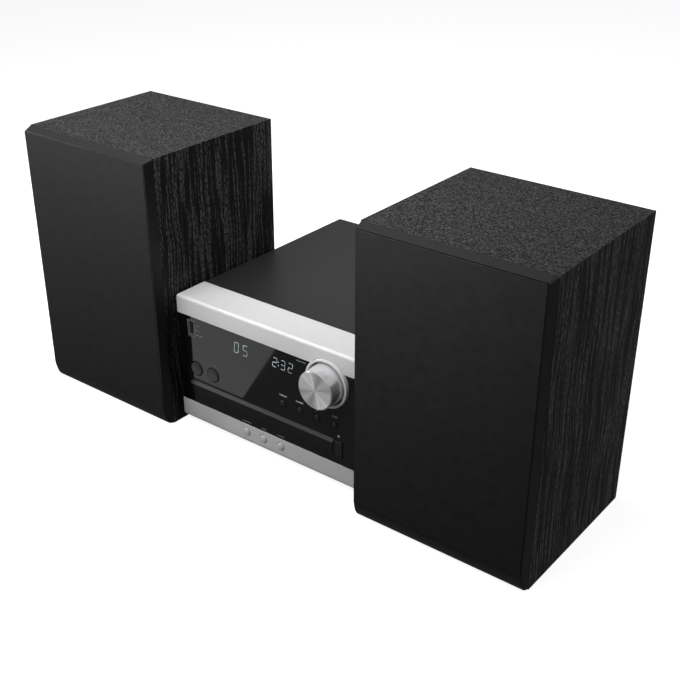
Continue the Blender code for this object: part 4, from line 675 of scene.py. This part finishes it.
SILVER = silver_lacquer()
WINDOW = smoked_acrylic()
GLOSS = gloss_abs()
BUTTON = moulded_plastic("button_abs", "101011", "161617", 0.30, 0.6, 0.005)
LEDGE = moulded_plastic("satin_abs", "101011", "151516", 0.30, 0.6, 0.003)
CARRIER = moulded_plastic("carrier_abs", "131313", "191919", 0.50, 0.5)
SATIN = moulded_plastic("speaker_frame_abs", "0C0C0C", "111111", 0.38, 0.7, 0.012,
                        Specular_IOR_Level=0.3)
MECHANISM = moulded_plastic("mechanism_abs", "17181A", "1E1F21", 0.50, 0.8)
NYLON = moulded_plastic("acetal", "CFCCC2", "DEDBD2", 0.40, 1.0, 0.01)
COVER = textured_paint()
ASH = ash_foil()
CLOTH = grille_fabric()
ZINC = zinc_sheet()
BLACK_STEEL = zinc_sheet("phosphated_steel", "1D1D1E", "29292A", 0.48)
CAST = zinc_sheet("extruded_aluminium", "9A9C9F", "AFB1B4", 0.38)
STEEL = bright_steel()
BOARD = solder_mask()
COPPER = enamelled_copper()
RUBBER = cured_rubber()
CONE = pulp_cone()
FILTER = moulded_plastic("display_filter", "0B1114", "10181C", 0.12, 3.0, 0.001)
SEGMENT = lit_segment()
WHITE_INK = screen_ink("white_ink", "A8A8A8", "CCCCCC")
GREY_INK = screen_ink("grey_ink", "5A5A5A", "747474")
POLISHED = polished_aluminium()


# ---------------------------------------------------------------- repeating pieces
def socket(tree, name, kind, value=None, way="INPUT"):
    """Named input or output of a node tree."""
    made = tree.interface.new_socket(name, in_out=way, socket_type=kind)
    if value is not None:
        made.default_value = value
    return made


def planted(tree, entry, points, piece, **inputs):
    """Put a piece on each point, make it real and give it the finish that is asked for."""
    placed = add(tree, "GeometryNodeInstanceOnPoints", {"Points": points, "Instance": piece, **inputs})
    real = add(tree, "GeometryNodeRealizeInstances", {0: placed.outputs[0]})
    shown = add(tree, "GeometryNodeSetMaterial", {"Geometry": real.outputs[0], "Material": entry["Finish"]})
    tree.links.new(shown.outputs[0], add(tree, "NodeGroupOutput").inputs[0])


def screw_tree():
    """Pan-head screws with a cross recess, one at each point, turned at random about their axis."""
    tree = bpy.data.node_groups.new("pan_head_screws", "GeometryNodeTree")
    socket(tree, "Places", "NodeSocketGeometry")
    socket(tree, "Screws", "NodeSocketGeometry", way="OUTPUT")
    for name, value in (("Head radius", 2.6 * MM), ("Head height", 1.2 * MM), ("Cross width", 0.7 * MM),
                        ("Cross depth", 0.8 * MM)):
        socket(tree, name, "NodeSocketFloat", value)
    socket(tree, "Facing", "NodeSocketRotation")
    socket(tree, "Seed", "NodeSocketInt", 4)
    socket(tree, "Finish", "NodeSocketMaterial")
    entry = add(tree, "NodeGroupInput").outputs
    shoulder = scalar(tree, "MULTIPLY", entry["Head radius"], 0.72)
    head = add(tree, "GeometryNodeMeshCone", {"Vertices": 24, "Radius Top": shoulder,
                                              "Radius Bottom": entry["Head radius"],
                                              "Depth": entry["Head height"]})
    floor = scalar(tree, "SUBTRACT", entry["Head height"], entry["Cross depth"])
    up = add(tree, "ShaderNodeCombineXYZ", {2: floor}).outputs[0]
    length = scalar(tree, "MULTIPLY", entry["Head radius"], 1.15)
    arms = []
    for x, y in ((length, entry["Cross width"]), (entry["Cross width"], length)):
        size = add(tree, "ShaderNodeCombineXYZ", {0: x, 1: y, 2: entry["Head height"]}).outputs[0]
        arm = add(tree, "GeometryNodeMeshCube", {"Size": size})
        lift = vector(tree, "ADD", vector(tree, "MULTIPLY", size, (0.0, 0.0, 0.5)), up)
        arms.append(add(tree, "GeometryNodeTransform", {"Geometry": arm.outputs[0], "Translation": lift}))
    cross = add(tree, "GeometryNodeMeshBoolean", {"Mesh 2": arms[0].outputs[0]}, operation="UNION")
    tree.links.new(arms[1].outputs[0], cross.inputs["Mesh 2"])
    cut = add(tree, "GeometryNodeMeshBoolean", {"Mesh 1": head.outputs["Mesh"], "Mesh 2": cross.outputs[0]},
              operation="DIFFERENCE")
    turn = add(tree, "FunctionNodeRandomValue", {"Min": 0.0, "Max": math.pi, "Seed": entry["Seed"]},
               data_type="FLOAT")
    about = add(tree, "ShaderNodeCombineXYZ", {2: turn.outputs[1]})
    spin = add(tree, "FunctionNodeEulerToRotation", {0: about.outputs[0]})
    aim = add(tree, "FunctionNodeRotateRotation", {0: entry["Facing"], 1: spin.outputs[0]},
              rotation_space="LOCAL")
    points = add(tree, "GeometryNodeMeshToPoints", {"Mesh": entry["Places"]})
    planted(tree, entry, points.outputs[0], cut.outputs[0], Rotation=aim.outputs[0])
    return tree


def rib_tree():
    """Equal bars in a row, for contacts, or round ones, for threads."""
    tree = bpy.data.node_groups.new("row_of_bars", "GeometryNodeTree")
    socket(tree, "Start", "NodeSocketGeometry")
    socket(tree, "Bars", "NodeSocketGeometry", way="OUTPUT")
    socket(tree, "Count", "NodeSocketInt", 4)
    socket(tree, "First", "NodeSocketVector")
    socket(tree, "Step", "NodeSocketVector")
    socket(tree, "Size", "NodeSocketVector")
    socket(tree, "Round radius", "NodeSocketFloat", 0.0)
    socket(tree, "Finish", "NodeSocketMaterial")
    entry = add(tree, "NodeGroupInput").outputs
    row = add(tree, "GeometryNodeMeshLine", {"Count": entry["Count"], "Start Location": entry["First"],
                                             "Offset": entry["Step"]}, mode="OFFSET")
    flat = add(tree, "GeometryNodeMeshCube", {"Size": entry["Size"]})
    depth = add(tree, "ShaderNodeSeparateXYZ", {0: entry["Size"]})
    disc = add(tree, "GeometryNodeMeshCylinder", {"Vertices": 40, "Radius": entry["Round radius"],
                                                  "Depth": depth.outputs["Y"]})
    lying = add(tree, "GeometryNodeTransform", {"Geometry": disc.outputs["Mesh"],
                                                "Rotation": (math.pi / 2, 0.0, 0.0)})
    is_round = add(tree, "FunctionNodeCompare", {0: entry["Round radius"], 1: 0.0}, operation="GREATER_THAN")
    bar = add(tree, "GeometryNodeSwitch", {0: is_round.outputs[0], 1: flat.outputs["Mesh"],
                                           2: lying.outputs[0]}, input_type="GEOMETRY")
    planted(tree, entry, row.outputs[0], bar.outputs[0])
    return tree


def grown_by(tree, name, places, material, **settings):
    """Object from points run through a node tree, turned into its plain mesh."""
    mesh = bpy.data.meshes.new(name)
    mesh.from_pydata(places, [], [])
    made = bpy.data.objects.new(name, mesh)
    bpy.context.scene.collection.objects.link(made)
    nodes = made.modifiers.new(tree.name, "NODES")
    nodes.node_group = tree
    sockets = {item.name: item.identifier for item in tree.interface.items_tree if item.in_out == "INPUT"}
    nodes[sockets["Finish"]] = material
    for key, value in settings.items():
        nodes[sockets[key.replace("_", " ")]] = value
    return applied(made)


SCREW_TREE = screw_tree()
RIB_TREE = rib_tree()
TO_BACK = (-math.pi / 2, 0.0, 0.0)      # turns a screw's head from +Z towards +Y
TO_LEFT = (0.0, -math.pi / 2, 0.0)
TO_RIGHT = (0.0, math.pi / 2, 0.0)
TO_FRONT = (math.pi / 2, 0.0, 0.0)


def screws(name, body, places, facing, material, slot, seed, radius=2.6 * MM):
    """Row of screws on one body."""
    made = grown_by(SCREW_TREE, name, places, material, Facing=facing, Seed=seed, Head_radius=radius)
    settle(made, body, slot)


# ---------------------------------------------------------------- receiver: front
WINDOW_SPANS = spans("display_window")
WINDOW_FACE = WINDOW_SPANS[1][0]
FRONT = spans("top_trim")[1][0]
WALL = 2.2 * MM                       # of the silver mouldings
BUTTON_FLANGE = 1.2 * MM              # rim of a cap behind the panel
KNOB_MIDDLE = centre("volume_knob")
KNOB_AXIS = axis_of("volume_knob")
RING_RADIUS = radius_of("knob_ring")
RING_HOLE = RING_RADIUS + 0.35 * MM
ROUND_BUTTONS = ("power_button", "selector_button", "previous_button", "next_button", "stop_button",
                 "play_button")
BAND_BUTTONS = ("sound_button", "bass_button", "source_button")


def cap_radius(node):
    """Of a push button, without the flange behind the panel."""
    return radius_of(node) - BUTTON_FLANGE


def round_holes(names, span, margin=0.55 * MM):
    """Smooth cutters for the holes round the push buttons."""
    return [rod("Y", axis_of(name), cap_radius(name) + margin, span) for name in names]


def silver_bands():
    """Two lacquered mouldings over and under the window."""
    y = (FRONT - WALL, FRONT + 2 * WALL)
    for node, name, holes in (("top_trim", "top_band", [rod("Y", KNOB_AXIS, RING_HOLE, y, 128)]),
                              ("bottom_trim", "bottom_band", round_holes(BAND_BUTTONS, y))):
        finished(node, name, SILVER, "silver_paint", 0.25, cuts=holes)


def window():
    """Polished sheet with chamfered holes, which catch the light round each button."""
    y = grown(WINDOW_SPANS[1], WALL)
    holes = round_holes(ROUND_BUTTONS, y) + [rod("Y", KNOB_AXIS, RING_HOLE, y, 128)]
    finished("display_window", "window_sheet", WINDOW, "black_acrylic", 0.18, cuts=holes)


def carrier():
    """Inner moulding that holds window, bands and boards."""
    finished("front_panel", "panel_carrier", CARRIER, "black_moulding", 0.2, 1)


def knob():
    """Turned volume knob: spun face inside a bright chamfer, and a polished flaring side."""
    face, back = spans("volume_knob")[1]
    base = radius_of("volume_knob")
    rim, edge, wall = base - 0.9 * MM, 0.8 * MM, 1.6 * MM
    boss, bore, crown, hair = 6 * MM, 3.3 * MM, 2 * MM, 0.01 * MM
    side = [(rim - edge, face + 2 * hair), (rim, face + edge)]
    steps, flare = 6, 1.6
    for t in (i / steps for i in range(1, steps + 1)):
        side.append((rim + (base - rim) * t ** flare, face + edge + (back - face - edge) * t))
    side += [(base - wall, back), (rim - wall, face + crown), (boss, face + crown), (boss, back),
             (bore, back), (bore, face + crown / 2)]
    settle(draft("knob_body", [turned(side, "Y", KNOB_AXIS, 128)], POLISHED), "volume_control",
           "spun_aluminium", "volume_knob")
    hollow, thick = 0.25 * MM, 0.9 * MM
    dish = [((rim - edge) * r, face + hollow * (1 - r ** 4)) for r in (0, 0.25, 0.5, 0.7, 0.85, 0.95)]
    dish += [(rim - edge, face + hair), (rim - edge - 0.1 * MM, face + thick), (0, face + thick)]
    settle(draft("knob_face", [turned(dish, "Y", KNOB_AXIS, 128)], spun_face_with_painted_rays(KNOB_MIDDLE)), "volume_control",
           "spun_aluminium")


def ring():
    """Lacquered collar round the knob."""
    y = spans("knob_ring")[1]
    inner, edge = RING_RADIUS - 2.1 * MM, 0.6 * MM
    profile = [(RING_RADIUS, y[1])] + arc((RING_RADIUS - edge, y[0] + edge), edge, 0, -90)
    profile += arc((inner + edge, y[0] + edge), edge, -90, -180) + [(inner, y[1])]
    settle(draft("knob_collar", [turned(profile, "Y", KNOB_AXIS, 128)], SILVER), "receiver", "silver_paint",
           "knob_ring")


def round_button(node, material, slot, dish):
    """Push button with a rounded rim; dish is how far its face is hollowed, or domed if negative."""
    front, back = spans(node)[1]
    radius = cap_radius(node)
    edge = min(0.6 * MM, radius * 0.22)
    rim = front + max(0.0, -dish) + edge
    flange, thick = WINDOW_SPANS[1][1] + 3 * MM, 1 * MM
    face, middle = radius - edge, rim - edge
    profile = [(face * r, middle + dish * (1 - r ** 2)) for r in (0, 0.3, 0.55, 0.75, 0.9)]
    profile += arc((face, rim), edge, -90, 0, 4)
    profile += [(radius, flange), (radius + BUTTON_FLANGE, flange), (radius + BUTTON_FLANGE, flange + thick),
                (radius / 2, flange + thick), (radius / 2, back), (0, back)]
    settle(draft(f"{node}_cap", [turned(profile, "Y", axis_of(node), 64)], material), node, slot, node)


def buttons():
    """Two hollowed buttons, seven domed ones and the upright eject button."""
    for node in ROUND_BUTTONS[:2]:
        round_button(node, BUTTON, "black_moulding", 0.35 * MM)
    for node in ROUND_BUTTONS[2:]:
        round_button(node, BUTTON, "black_moulding", -0.25 * MM)
    for node in BAND_BUTTONS:
        round_button(node, SILVER, "silver_paint", -0.25 * MM)
    finished("eject_button", "eject_button_cap", BUTTON, "black_moulding", 0.45, 3)


INK = (WINDOW_FACE - 0.05 * MM, WINDOW_FACE + 0.05 * MM)        # proud of the window by a hair


def ink_shape(points):
    """Thin slab of ink or light on the window, from its outline."""
    return prism(points, "Y", INK)


def bar(x, z, width, height):
    """Upright or level stroke about its middle."""
    return box(around(x, width), INK, around(z, height))


# strokes of a seven-stroke digit: top, middle, bottom, upper left, upper right, lower left, lower right
DIGIT_STROKES = {"0": "tbuvwx", "2": "tmbvw", "3": "tmbvx", "5": "tmbux"}


def digit(figure, x, z, width, height, thick=0.29 * MM):
    """A plain figure from its corner up, leaning a little to the right."""
    lean, gap = 0.10, 0.18 * MM
    half, nib = height / 2, thick / 2
    level = {"t": height, "m": half, "b": 0.0}
    upright = {"u": (0, half), "v": (width, half), "w": (0, 0), "x": (width, 0)}
    shapes = []
    for name in DIGIT_STROKES[figure]:
        if name in level:
            v = level[name]
            ends = [(gap, v), (nib + gap, v + nib), (width - nib - gap, v + nib), (width - gap, v),
                    (width - nib - gap, v - nib), (nib + gap, v - nib)]
        else:
            u, low = upright[name]
            ends = [(u, low + gap), (u + nib, low + nib + gap), (u + nib, low + half - nib - gap),
                    (u, low + half - gap), (u - nib, low + half - nib - gap), (u - nib, low + nib + gap)]
        shapes.append(ink_shape([(x + u + lean * v, z + v) for u, v in ends]))
    return shapes


def display():
    """Display cell behind the window, and its lit figures: a track number and a time."""
    finished("display_module", "display_cell", FILTER, "display_glass", 0.3, angle=30)
    x, y, z = spans("display_module")
    track, minutes, dot = (4.0 * MM, 8.6 * MM), (3.9 * MM, 7.6 * MM), 0.7 * MM
    shapes = []
    for figure, along in (("0", 8.4), ("5", 17.2)):
        shapes += digit(figure, x[0] + along * MM, z[0] + 4.8 * MM, *track)
    for figure, along in (("2", 46.8), ("3", 54.6), ("2", 61.8)):
        shapes += digit(figure, x[0] + along * MM, z[0] + 5.6 * MM, *minutes)
    shapes += [bar(x[0] + 52.6 * MM, z[0] + up * MM, dot, dot) for up in (7.8, 10.6)]
    settle(draft("lit_figures", shapes, SEGMENT), "receiver", "display_glass")


def arrow(x, z, size, way=1):
    """Triangle that points along x."""
    return ink_shape([(x - way * size / 2, z - size / 2), (x + way * size / 2, z),
                      (x - way * size / 2, z + size / 2)])


# what is printed over the small buttons: middle along x, width and height in mm; an arrow has no width
MARK, LINE, SLASH = 1.5, 0.4, 0.35
SKIP_MARKS = ((2.9, LINE, MARK), (2.0, None, MARK), (0.6, None, MARK), (-0.7, SLASH, 1.1 * MARK),
              (-1.7, None, 0.9 * MARK), (-3.0, None, 0.9 * MARK))
STOP_MARKS = ((0.0, MARK, MARK),)
PLAY_MARKS = ((-1.6, None, MARK), (-0.1, SLASH, 1.1 * MARK), (1.1, LINE, MARK), (1.9, LINE, MARK))


def control_marks():
    """Generic transport and eject marks in white ink."""
    shapes = []
    for node, marks, way in (("previous_button", SKIP_MARKS, -1), ("next_button", SKIP_MARKS, 1),
                             ("stop_button", STOP_MARKS, 1), ("play_button", PLAY_MARKS, 1)):
        x, z = centre(node)[0], centre(node)[2] + 7.0 * MM
        for along, width, height in marks:
            at = x + way * along * MM
            shapes.append(bar(at, z, width * MM, height * MM) if width else arrow(at, z, height * MM, way))
    size = MARK * MM
    x, z = centre("eject_button")[0], spans("eject_button")[2][1] + 4.0 * MM
    shapes += [ink_shape([(x - size * 0.7, z), (x + size * 0.7, z), (x, z + size * 0.8)]),
               bar(x, z - 0.6 * MM, size * 1.4, LINE * MM)]
    settle(draft("control_marks", shapes, WHITE_INK), "receiver", "white_moulding")


def above(node, gap=3.0 * MM):
    """Middle of the mark over a round button."""
    return centre(node)[0], centre(node)[2] + cap_radius(node) + gap


def label_marks():
    """Power mark, and plain bars in grey ink where a set has its captions."""
    x, z = above("power_button")
    shapes = [bar(x, z + 0.7 * MM, SLASH * MM, 1.1 * MM)]
    sweep = [math.radians(a) for a in range(125, 416, 15)]
    outer = [(x + 1.0 * MM * math.cos(a), z + 1.0 * MM * math.sin(a)) for a in sweep]
    inner = [(x + 0.7 * MM * math.cos(a), z + 0.7 * MM * math.sin(a)) for a in reversed(sweep)]
    shapes.append(ink_shape(outer + inner))
    x, z = above("selector_button")
    shapes += [bar(x + i * 1.9 * MM, z, 1.3 * MM, 0.8 * MM) for i in (-2, -1, 0, 1, 2)]
    x, y, z = spans("usb_socket")
    for i, length in enumerate((4.2, 5.4, 7.6)):
        shapes.append(bar(x[1] + (1.8 + length / 2) * MM, z[1] - (2.6 + 4.0 * i) * MM, length * MM, 0.7 * MM))
    low, high = WINDOW_SPANS[2]
    for node, length in zip(BAND_BUTTONS, (9.0, 5.0, 7.0)):
        shapes.append(bar(centre(node)[0], low + 2.2 * MM, length * MM, 0.8 * MM))
    shapes.append(bar(spans("display_module")[0][0] + 74.5 * MM, high - 2.6 * MM, 9.0 * MM, 0.8 * MM))
    settle(draft("label_marks", shapes, GREY_INK), "receiver", "black_moulding")


def usb():
    """Upright socket: folded shell and a fine printed border."""
    finished("usb_socket", "usb_shell", ZINC, "bare_steel", 0.12, 1, 30)
    x, y, z = spans("usb_socket")
    margin, border = 0.9 * MM, 0.45 * MM
    outer = rounded(grown(x, margin), grown(z, margin), 0.5 * MM, 3)
    inner = rounded(grown(x, margin - border), grown(z, margin - border), 0.3 * MM, 3)
    face = (WINDOW_FACE - 0.08 * MM, WINDOW_FACE + 0.1 * MM)
    lip = draft("usb_border", [prism(outer, "Y", face)], GREY_INK)
    carved(lip, [prism(inner, "Y", grown(face, WALL))])
    settle(lip, "receiver", "bare_steel")


def door():
    """Front of the disc tray: polished, with a sloping ledge that faces the light."""
    finished("tray_door", "door_cap", GLOSS, "black_moulding", 0.25, 2, 20)
    x, y, z = spans("tray_door")
    fall, rise, skin, thick = 2.0 * MM, 3.2 * MM, 0.06 * MM, 0.6 * MM
    outline = [(y[0] - skin, z[1] - rise), (y[0] + fall - skin, z[1] + skin),
               (y[0] + fall + thick, z[1] + skin), (y[0] + thick, z[1] - rise)]
    settle(draft("door_ledge", [prism(outline, "X", grown(x, -0.3 * MM))], LEDGE), "tray", "black_moulding")


# ---------------------------------------------------------------- receiver: case and inside
PLAIN_PIECES = (
    # node, new name, material, material slot, edge in mm
    ("top_cover", "cover_sheet", COVER, "black_steel", 0.2),
    ("rear_panel", "back_sheet", BLACK_STEEL, "black_steel", 0.15),
    ("bottom_chassis", "chassis_sheet", ZINC, "bare_steel", 0.15),
    ("board_shelf", "shelf_sheet", ZINC, "bare_steel", 0.15),
    ("front_board", "front_board_glass", BOARD, "circuit_board", 0.1),
    ("main_board", "main_board_glass", BOARD, "circuit_board", 0.1),
    ("power_board", "power_board_glass", BOARD, "circuit_board", 0.1),
    ("transformer", "transformer_core", COPPER, "copper_winding", 0.4),
    ("heat_sink", "heat_sink_comb", CAST, "bare_steel", 0.15),
    ("mains_inlet", "inlet_moulding", CARRIER, "black_moulding", 0.3),
    ("antenna_jack", "antenna_jack_body", STEEL, "bare_steel", 0.1),
    ("speaker_sockets", "socket_block", NYLON, "white_moulding", 0.3),
    ("volume_encoder", "encoder_can", STEEL, "bare_steel", 0.2),
    ("encoder_shaft", "encoder_spindle", STEEL, "bare_steel", 0.2),
    ("loader_frame", "loader_moulding", MECHANISM, "black_moulding", 0.2),
    ("traverse_base", "traverse_plate", ZINC, "bare_steel", 0.15),
    ("guide_rod", "pickup_rod", STEEL, "bare_steel", 0.15),
    ("laser_pickup", "pickup_sled", MECHANISM, "black_moulding", 0.2),
    ("spindle_motor", "spindle_motor_can", STEEL, "bare_steel", 0.2),
    ("loading_motor", "loading_motor_can", STEEL, "bare_steel", 0.15),
    ("loading_gear", "loading_gear_wheel", NYLON, "white_moulding", 0.08),
    ("turntable", "turntable_hub", MECHANISM, "black_moulding", 0.15),
    ("clamp_bridge", "clamp_beam", ZINC, "bare_steel", 0.15),
    ("clamp_puck", "clamp_disc", MECHANISM, "black_moulding", 0.2),
)


def plain_pieces():
    """Casings and inner pieces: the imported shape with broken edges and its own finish."""
    for row in PLAIN_PIECES:
        finished(*row)


def tray():
    """Disc tray with smooth wells, a small one inside a large one."""
    x, y, z = spans("cd_tray")
    middle = ((x[0] + x[1]) / 2, centre("turntable")[1], 0)
    top, floor, step = z[1], z[1] - 4.4 * MM, 0.6 * MM
    small, large, skin = 41.1 * MM, 61.1 * MM, 0.02 * MM
    wells = [(0, floor - step - skin), (small, floor - step - skin), (small, floor - skin),
             (large, floor - skin), (large, top + WALL), (0, top + WALL)]
    cuts = [turned(wells, "Z", middle, 160)]
    finished("cd_tray", "tray_moulding", MECHANISM, "black_moulding", 0.3, cuts=cuts)


def feet():
    """Turned rubber feet with a round edge."""
    for row in ("front", "rear"):
        for side in ("left", "right"):
            node = f"foot_{row}_{side}"
            x, y, z = centre(node)
            radius, top, edge, hollow = radius_of(node), spans(node)[2][1], 1.2 * MM, 0.3 * MM
            profile = [(0, hollow), (radius * 0.55, hollow), (radius * 0.62, 0)]
            profile += arc((radius - edge, edge), edge, -90, 0) + [(radius, top), (0, top)]
            at = (x, y, 0)
            settle(draft(f"rubber_{node}", [turned(profile, "Z", at, 64)], RUBBER), "receiver",
                   "black_rubber", node)


def belt():
    """Flat rubber belt between the motor's pulley and the loading gear's pulley."""
    gear, motor = centre("loading_gear"), centre("loading_motor")
    groove = spans("loading_motor")[2][1] - 1.5 * MM
    big, small, thick, tall = 7.75 * MM, 2.35 * MM, 0.7 * MM, 1.4 * MM
    run = math.hypot(motor[0] - gear[0], motor[1] - gear[1])
    heading = math.atan2(motor[1] - gear[1], motor[0] - gear[0])
    tilt = math.acos((big - small) / run)
    path = []
    for (cx, cy, cz), radius, first, last in ((gear, big, tilt, 2 * math.pi - tilt),
                                              (motor, small, -tilt, tilt)):
        path += [(cx, cy, radius, heading + first + (last - first) * i / 24) for i in range(25)]
    rings = []
    for side, z in ((0, 0), (thick, 0), (thick, tall), (0, tall)):
        rings.append([Vector((cx + (r + side) * math.cos(a), cy + (r + side) * math.sin(a),
                              groove - tall / 2 + z)) for cx, cy, r, a in path])
    settle(draft("drive_belt", [loft(rings, closed=True)], RUBBER), "receiver", "black_rubber")


def case_screws():
    """Screws that hold back and cover."""
    x, y, z = spans("rear_panel")
    middle, head = (x[0] + x[1]) / 2, 0.55 * MM     # heads sink this far into the sheet's dimples
    columns = (x[0] + 8 * MM, middle - 26 * MM, middle + 26 * MM, x[1] - 8 * MM)
    rows = [(across, y[1] - head, up) for up in grown(z, -7 * MM) for across in columns]
    screws("back_screws", "receiver", rows, TO_BACK, BLACK_STEEL, "black_steel", 3)
    x, y, z = spans("top_cover")
    for name, side, facing, seed in (("left", x[0] + head, TO_LEFT, 7), ("right", x[1] - head, TO_RIGHT, 9)):
        places = [(side, along, z[0] + 14 * MM) for along in (y[0] + 22 * MM, y[1] - 16 * MM)]
        screws(f"cover_screws_{name}", "receiver", places, facing, BLACK_STEEL, "black_steel", seed)


def thread_and_contacts():
    """Thread of the antenna jack, and the four contacts of the USB socket."""
    first = (centre("antenna_jack")[0], spans("rear_panel")[1][1] + 1.2 * MM,
             spans("antenna_jack")[2][1] - 7 * MM)
    turns = grown_by(RIB_TREE, "antenna_thread", [(0, 0, 0)], STEEL, Count=6, First=first,
                     Step=(0.0, 1.05 * MM, 0.0), Size=(1 * MM, 0.5 * MM, 1 * MM), Round_radius=5.0 * MM)
    x, y, z = spans("usb_socket")
    lowest = (centre("usb_socket")[0] + 0.75 * MM, y[0] + 6.3 * MM, z[0] + 2.9 * MM)
    contacts = grown_by(RIB_TREE, "usb_contacts", [(0, 0, 0)], STEEL, Count=4, First=lowest,
                        Step=(0.0, 0.0, 2.35 * MM), Size=(0.12 * MM, 3.0 * MM, 1.0 * MM))
    for piece in (turns, contacts):
        settle(piece, "receiver", "bare_steel")


# ---------------------------------------------------------------- speakers
CLOTH_WRAP = 0.45 * MM                # cloth stands ahead of the frame's rim
CLOTH_REACH = 0.4 * MM                # and covers its border but for a fine edge


def cabinet(side):
    """Foil-wrapped cabinet with a smooth hole for the driver."""
    front = spans(f"cabinet_{side}")[1][0]
    hole = rod("Y", axis_of(f"woofer_cone_{side}"), 46.7 * MM, (front - WALL, front + 20 * MM), 128)
    finished(f"cabinet_{side}", f"foil_cabinet_{side}", ASH, "speaker_board", 0.45, 3, 30, [hole])


def grille_frame(side):
    """Moulded frame that narrows evenly towards its face, and in a curve at its foot."""
    body, node = f"speaker_{side}", f"grille_frame_{side}"
    x, y, z = spans(node)
    back = spans(f"cabinet_{side}")[1][0] - 0.3 * MM
    cloth_x, cloth_y, cloth_z = spans(f"grille_cloth_{side}")
    rim = 1.3 * MM                                  # frame shows this wide round the cloth
    side_inset, corner = cloth_x[0] - x[0] - rim, 1.8 * MM
    top_inset, bottom_inset = z[1] - cloth_z[1] - rim, cloth_z[0] - z[0] - rim
    rings = []
    steps = 12
    for i in range(steps + 1):
        t = i / steps
        level = back + (y[0] + CLOTH_WRAP - back) * t
        u = grown(x, -side_inset * t)
        v = (z[0] + bottom_inset * t ** 3, z[1] - top_inset * t)
        rings.append([Vector((a, level, b)) for a, b in rounded(u, v, corner)])
    made = draft(f"frame_moulding_{side}", [loft(rings)], SATIN)
    border = 9 * MM
    inner = rounded(grown(x, -border), (cloth_z[0] + 7.7 * MM, z[1] - border), 4 * MM)
    carved(made, [prism(inner, "Y", (y[0] - WALL, y[1] + WALL))])
    pegs = [rod("Y", (px, 0, pz), 2.5 * MM, (back - 3 * MM, y[1]))
            for px in (x[0] + 5.5 * MM, x[1] - 5.5 * MM) for pz in (z[0] + 30 * MM, z[1] - 20 * MM)]
    carved(made, pegs, "UNION")
    settle(broken(made, 0.5 * MM, 3, 40), body, "black_moulding", node)


def cloth(side):
    """Cloth stretched over the frame, turned down at its rim."""
    node = f"grille_cloth_{side}"
    x, y, z = (grown(span, reach) for span, reach in zip(spans(node), (CLOTH_REACH, 0, CLOTH_REACH)))
    front = spans(f"grille_frame_{side}")[1][0]
    rings = []
    for inset, depth in ((0.0, 1.0), (0.0, 0.6), (0.06, 0.3), (0.2, 0.08), (0.4, 0.0)):
        u, v = grown(x, -inset * MM), grown(z, -inset * MM)
        level = front + CLOTH_WRAP * depth
        rings.append([Vector((a, level, b)) for a, b in rounded(u, v, 1.4 * MM - inset * MM)])
    made = draft(f"woven_cloth_{side}", [loft(rings)], CLOTH)
    settle(made, f"speaker_{side}", "grille_cloth", node)


def port(side):
    """Rear moulding with a smooth flared port and the speaker socket."""
    node = f"port_panel_{side}"
    x, y, z = spans(node)
    at = ((x[0] + x[1]) / 2, y[1], z[0] + 64 * MM)
    radius, flare, length = 16.1 * MM, 4.1 * MM, 60 * MM
    bore = [(0, -length - WALL), (radius, -length - WALL), (radius, -flare)]
    bore += [(radius + flare * (1 - math.cos(a)), -flare * (1 - math.sin(a)))
             for a in (math.radians(d) for d in range(10, 91, 10))]
    bore += [(radius + flare, WALL), (0, WALL)]
    finished(node, f"port_moulding_{side}", CARRIER, "black_moulding", 0.3, cuts=[turned(bore, "Y", at, 128)])


def woofer(side):
    """Driver frame, and cone with its surround and dust cap."""
    finished(f"woofer_frame_{side}", f"woofer_basket_{side}", BLACK_STEEL, "black_steel", 0.3)
    finished(f"woofer_cone_{side}", f"pulp_cone_{side}", CONE, "cone_paper", 0.15, 2, 60)


def speaker_screws(side):
    """Screws of the port panel, and those of the driver behind the grille."""
    x, y, z = spans(f"port_panel_{side}")
    places = [(across, y[1] - 0.45 * MM, up) for across in grown(x, -5 * MM) for up in grown(z, -5 * MM)]
    screws(f"port_screws_{side}", f"speaker_{side}", places, TO_BACK, BLACK_STEEL, "black_steel", 5)
    x, y, z = centre(f"woofer_frame_{side}")
    sunk = spans(f"woofer_frame_{side}")[1][0] + 0.3 * MM
    ring = radius_of(f"woofer_frame_{side}") - 2.4 * MM
    turns = [math.radians(a) for a in (45, 135, 225, 315)]
    places = [(x + ring * math.cos(a), sunk, z + ring * math.sin(a)) for a in turns]
    screws(f"woofer_screws_{side}", f"speaker_{side}", places, TO_FRONT, STEEL, "bare_steel", 8,
           radius=2.0 * MM)


# ---------------------------------------------------------------- everything
camera()
backdrop()
white_floor()
lamps()
silver_bands()
window()
carrier()
knob()
ring()
buttons()
display()
control_marks()
label_marks()
usb()
door()
plain_pieces()
tray()
feet()
belt()
case_screws()
thread_and_contacts()
for hand in ("left", "right"):
    cabinet(hand)
    grille_frame(hand)
    cloth(hand)
    port(hand)
    woofer(hand)
    speaker_screws(hand)
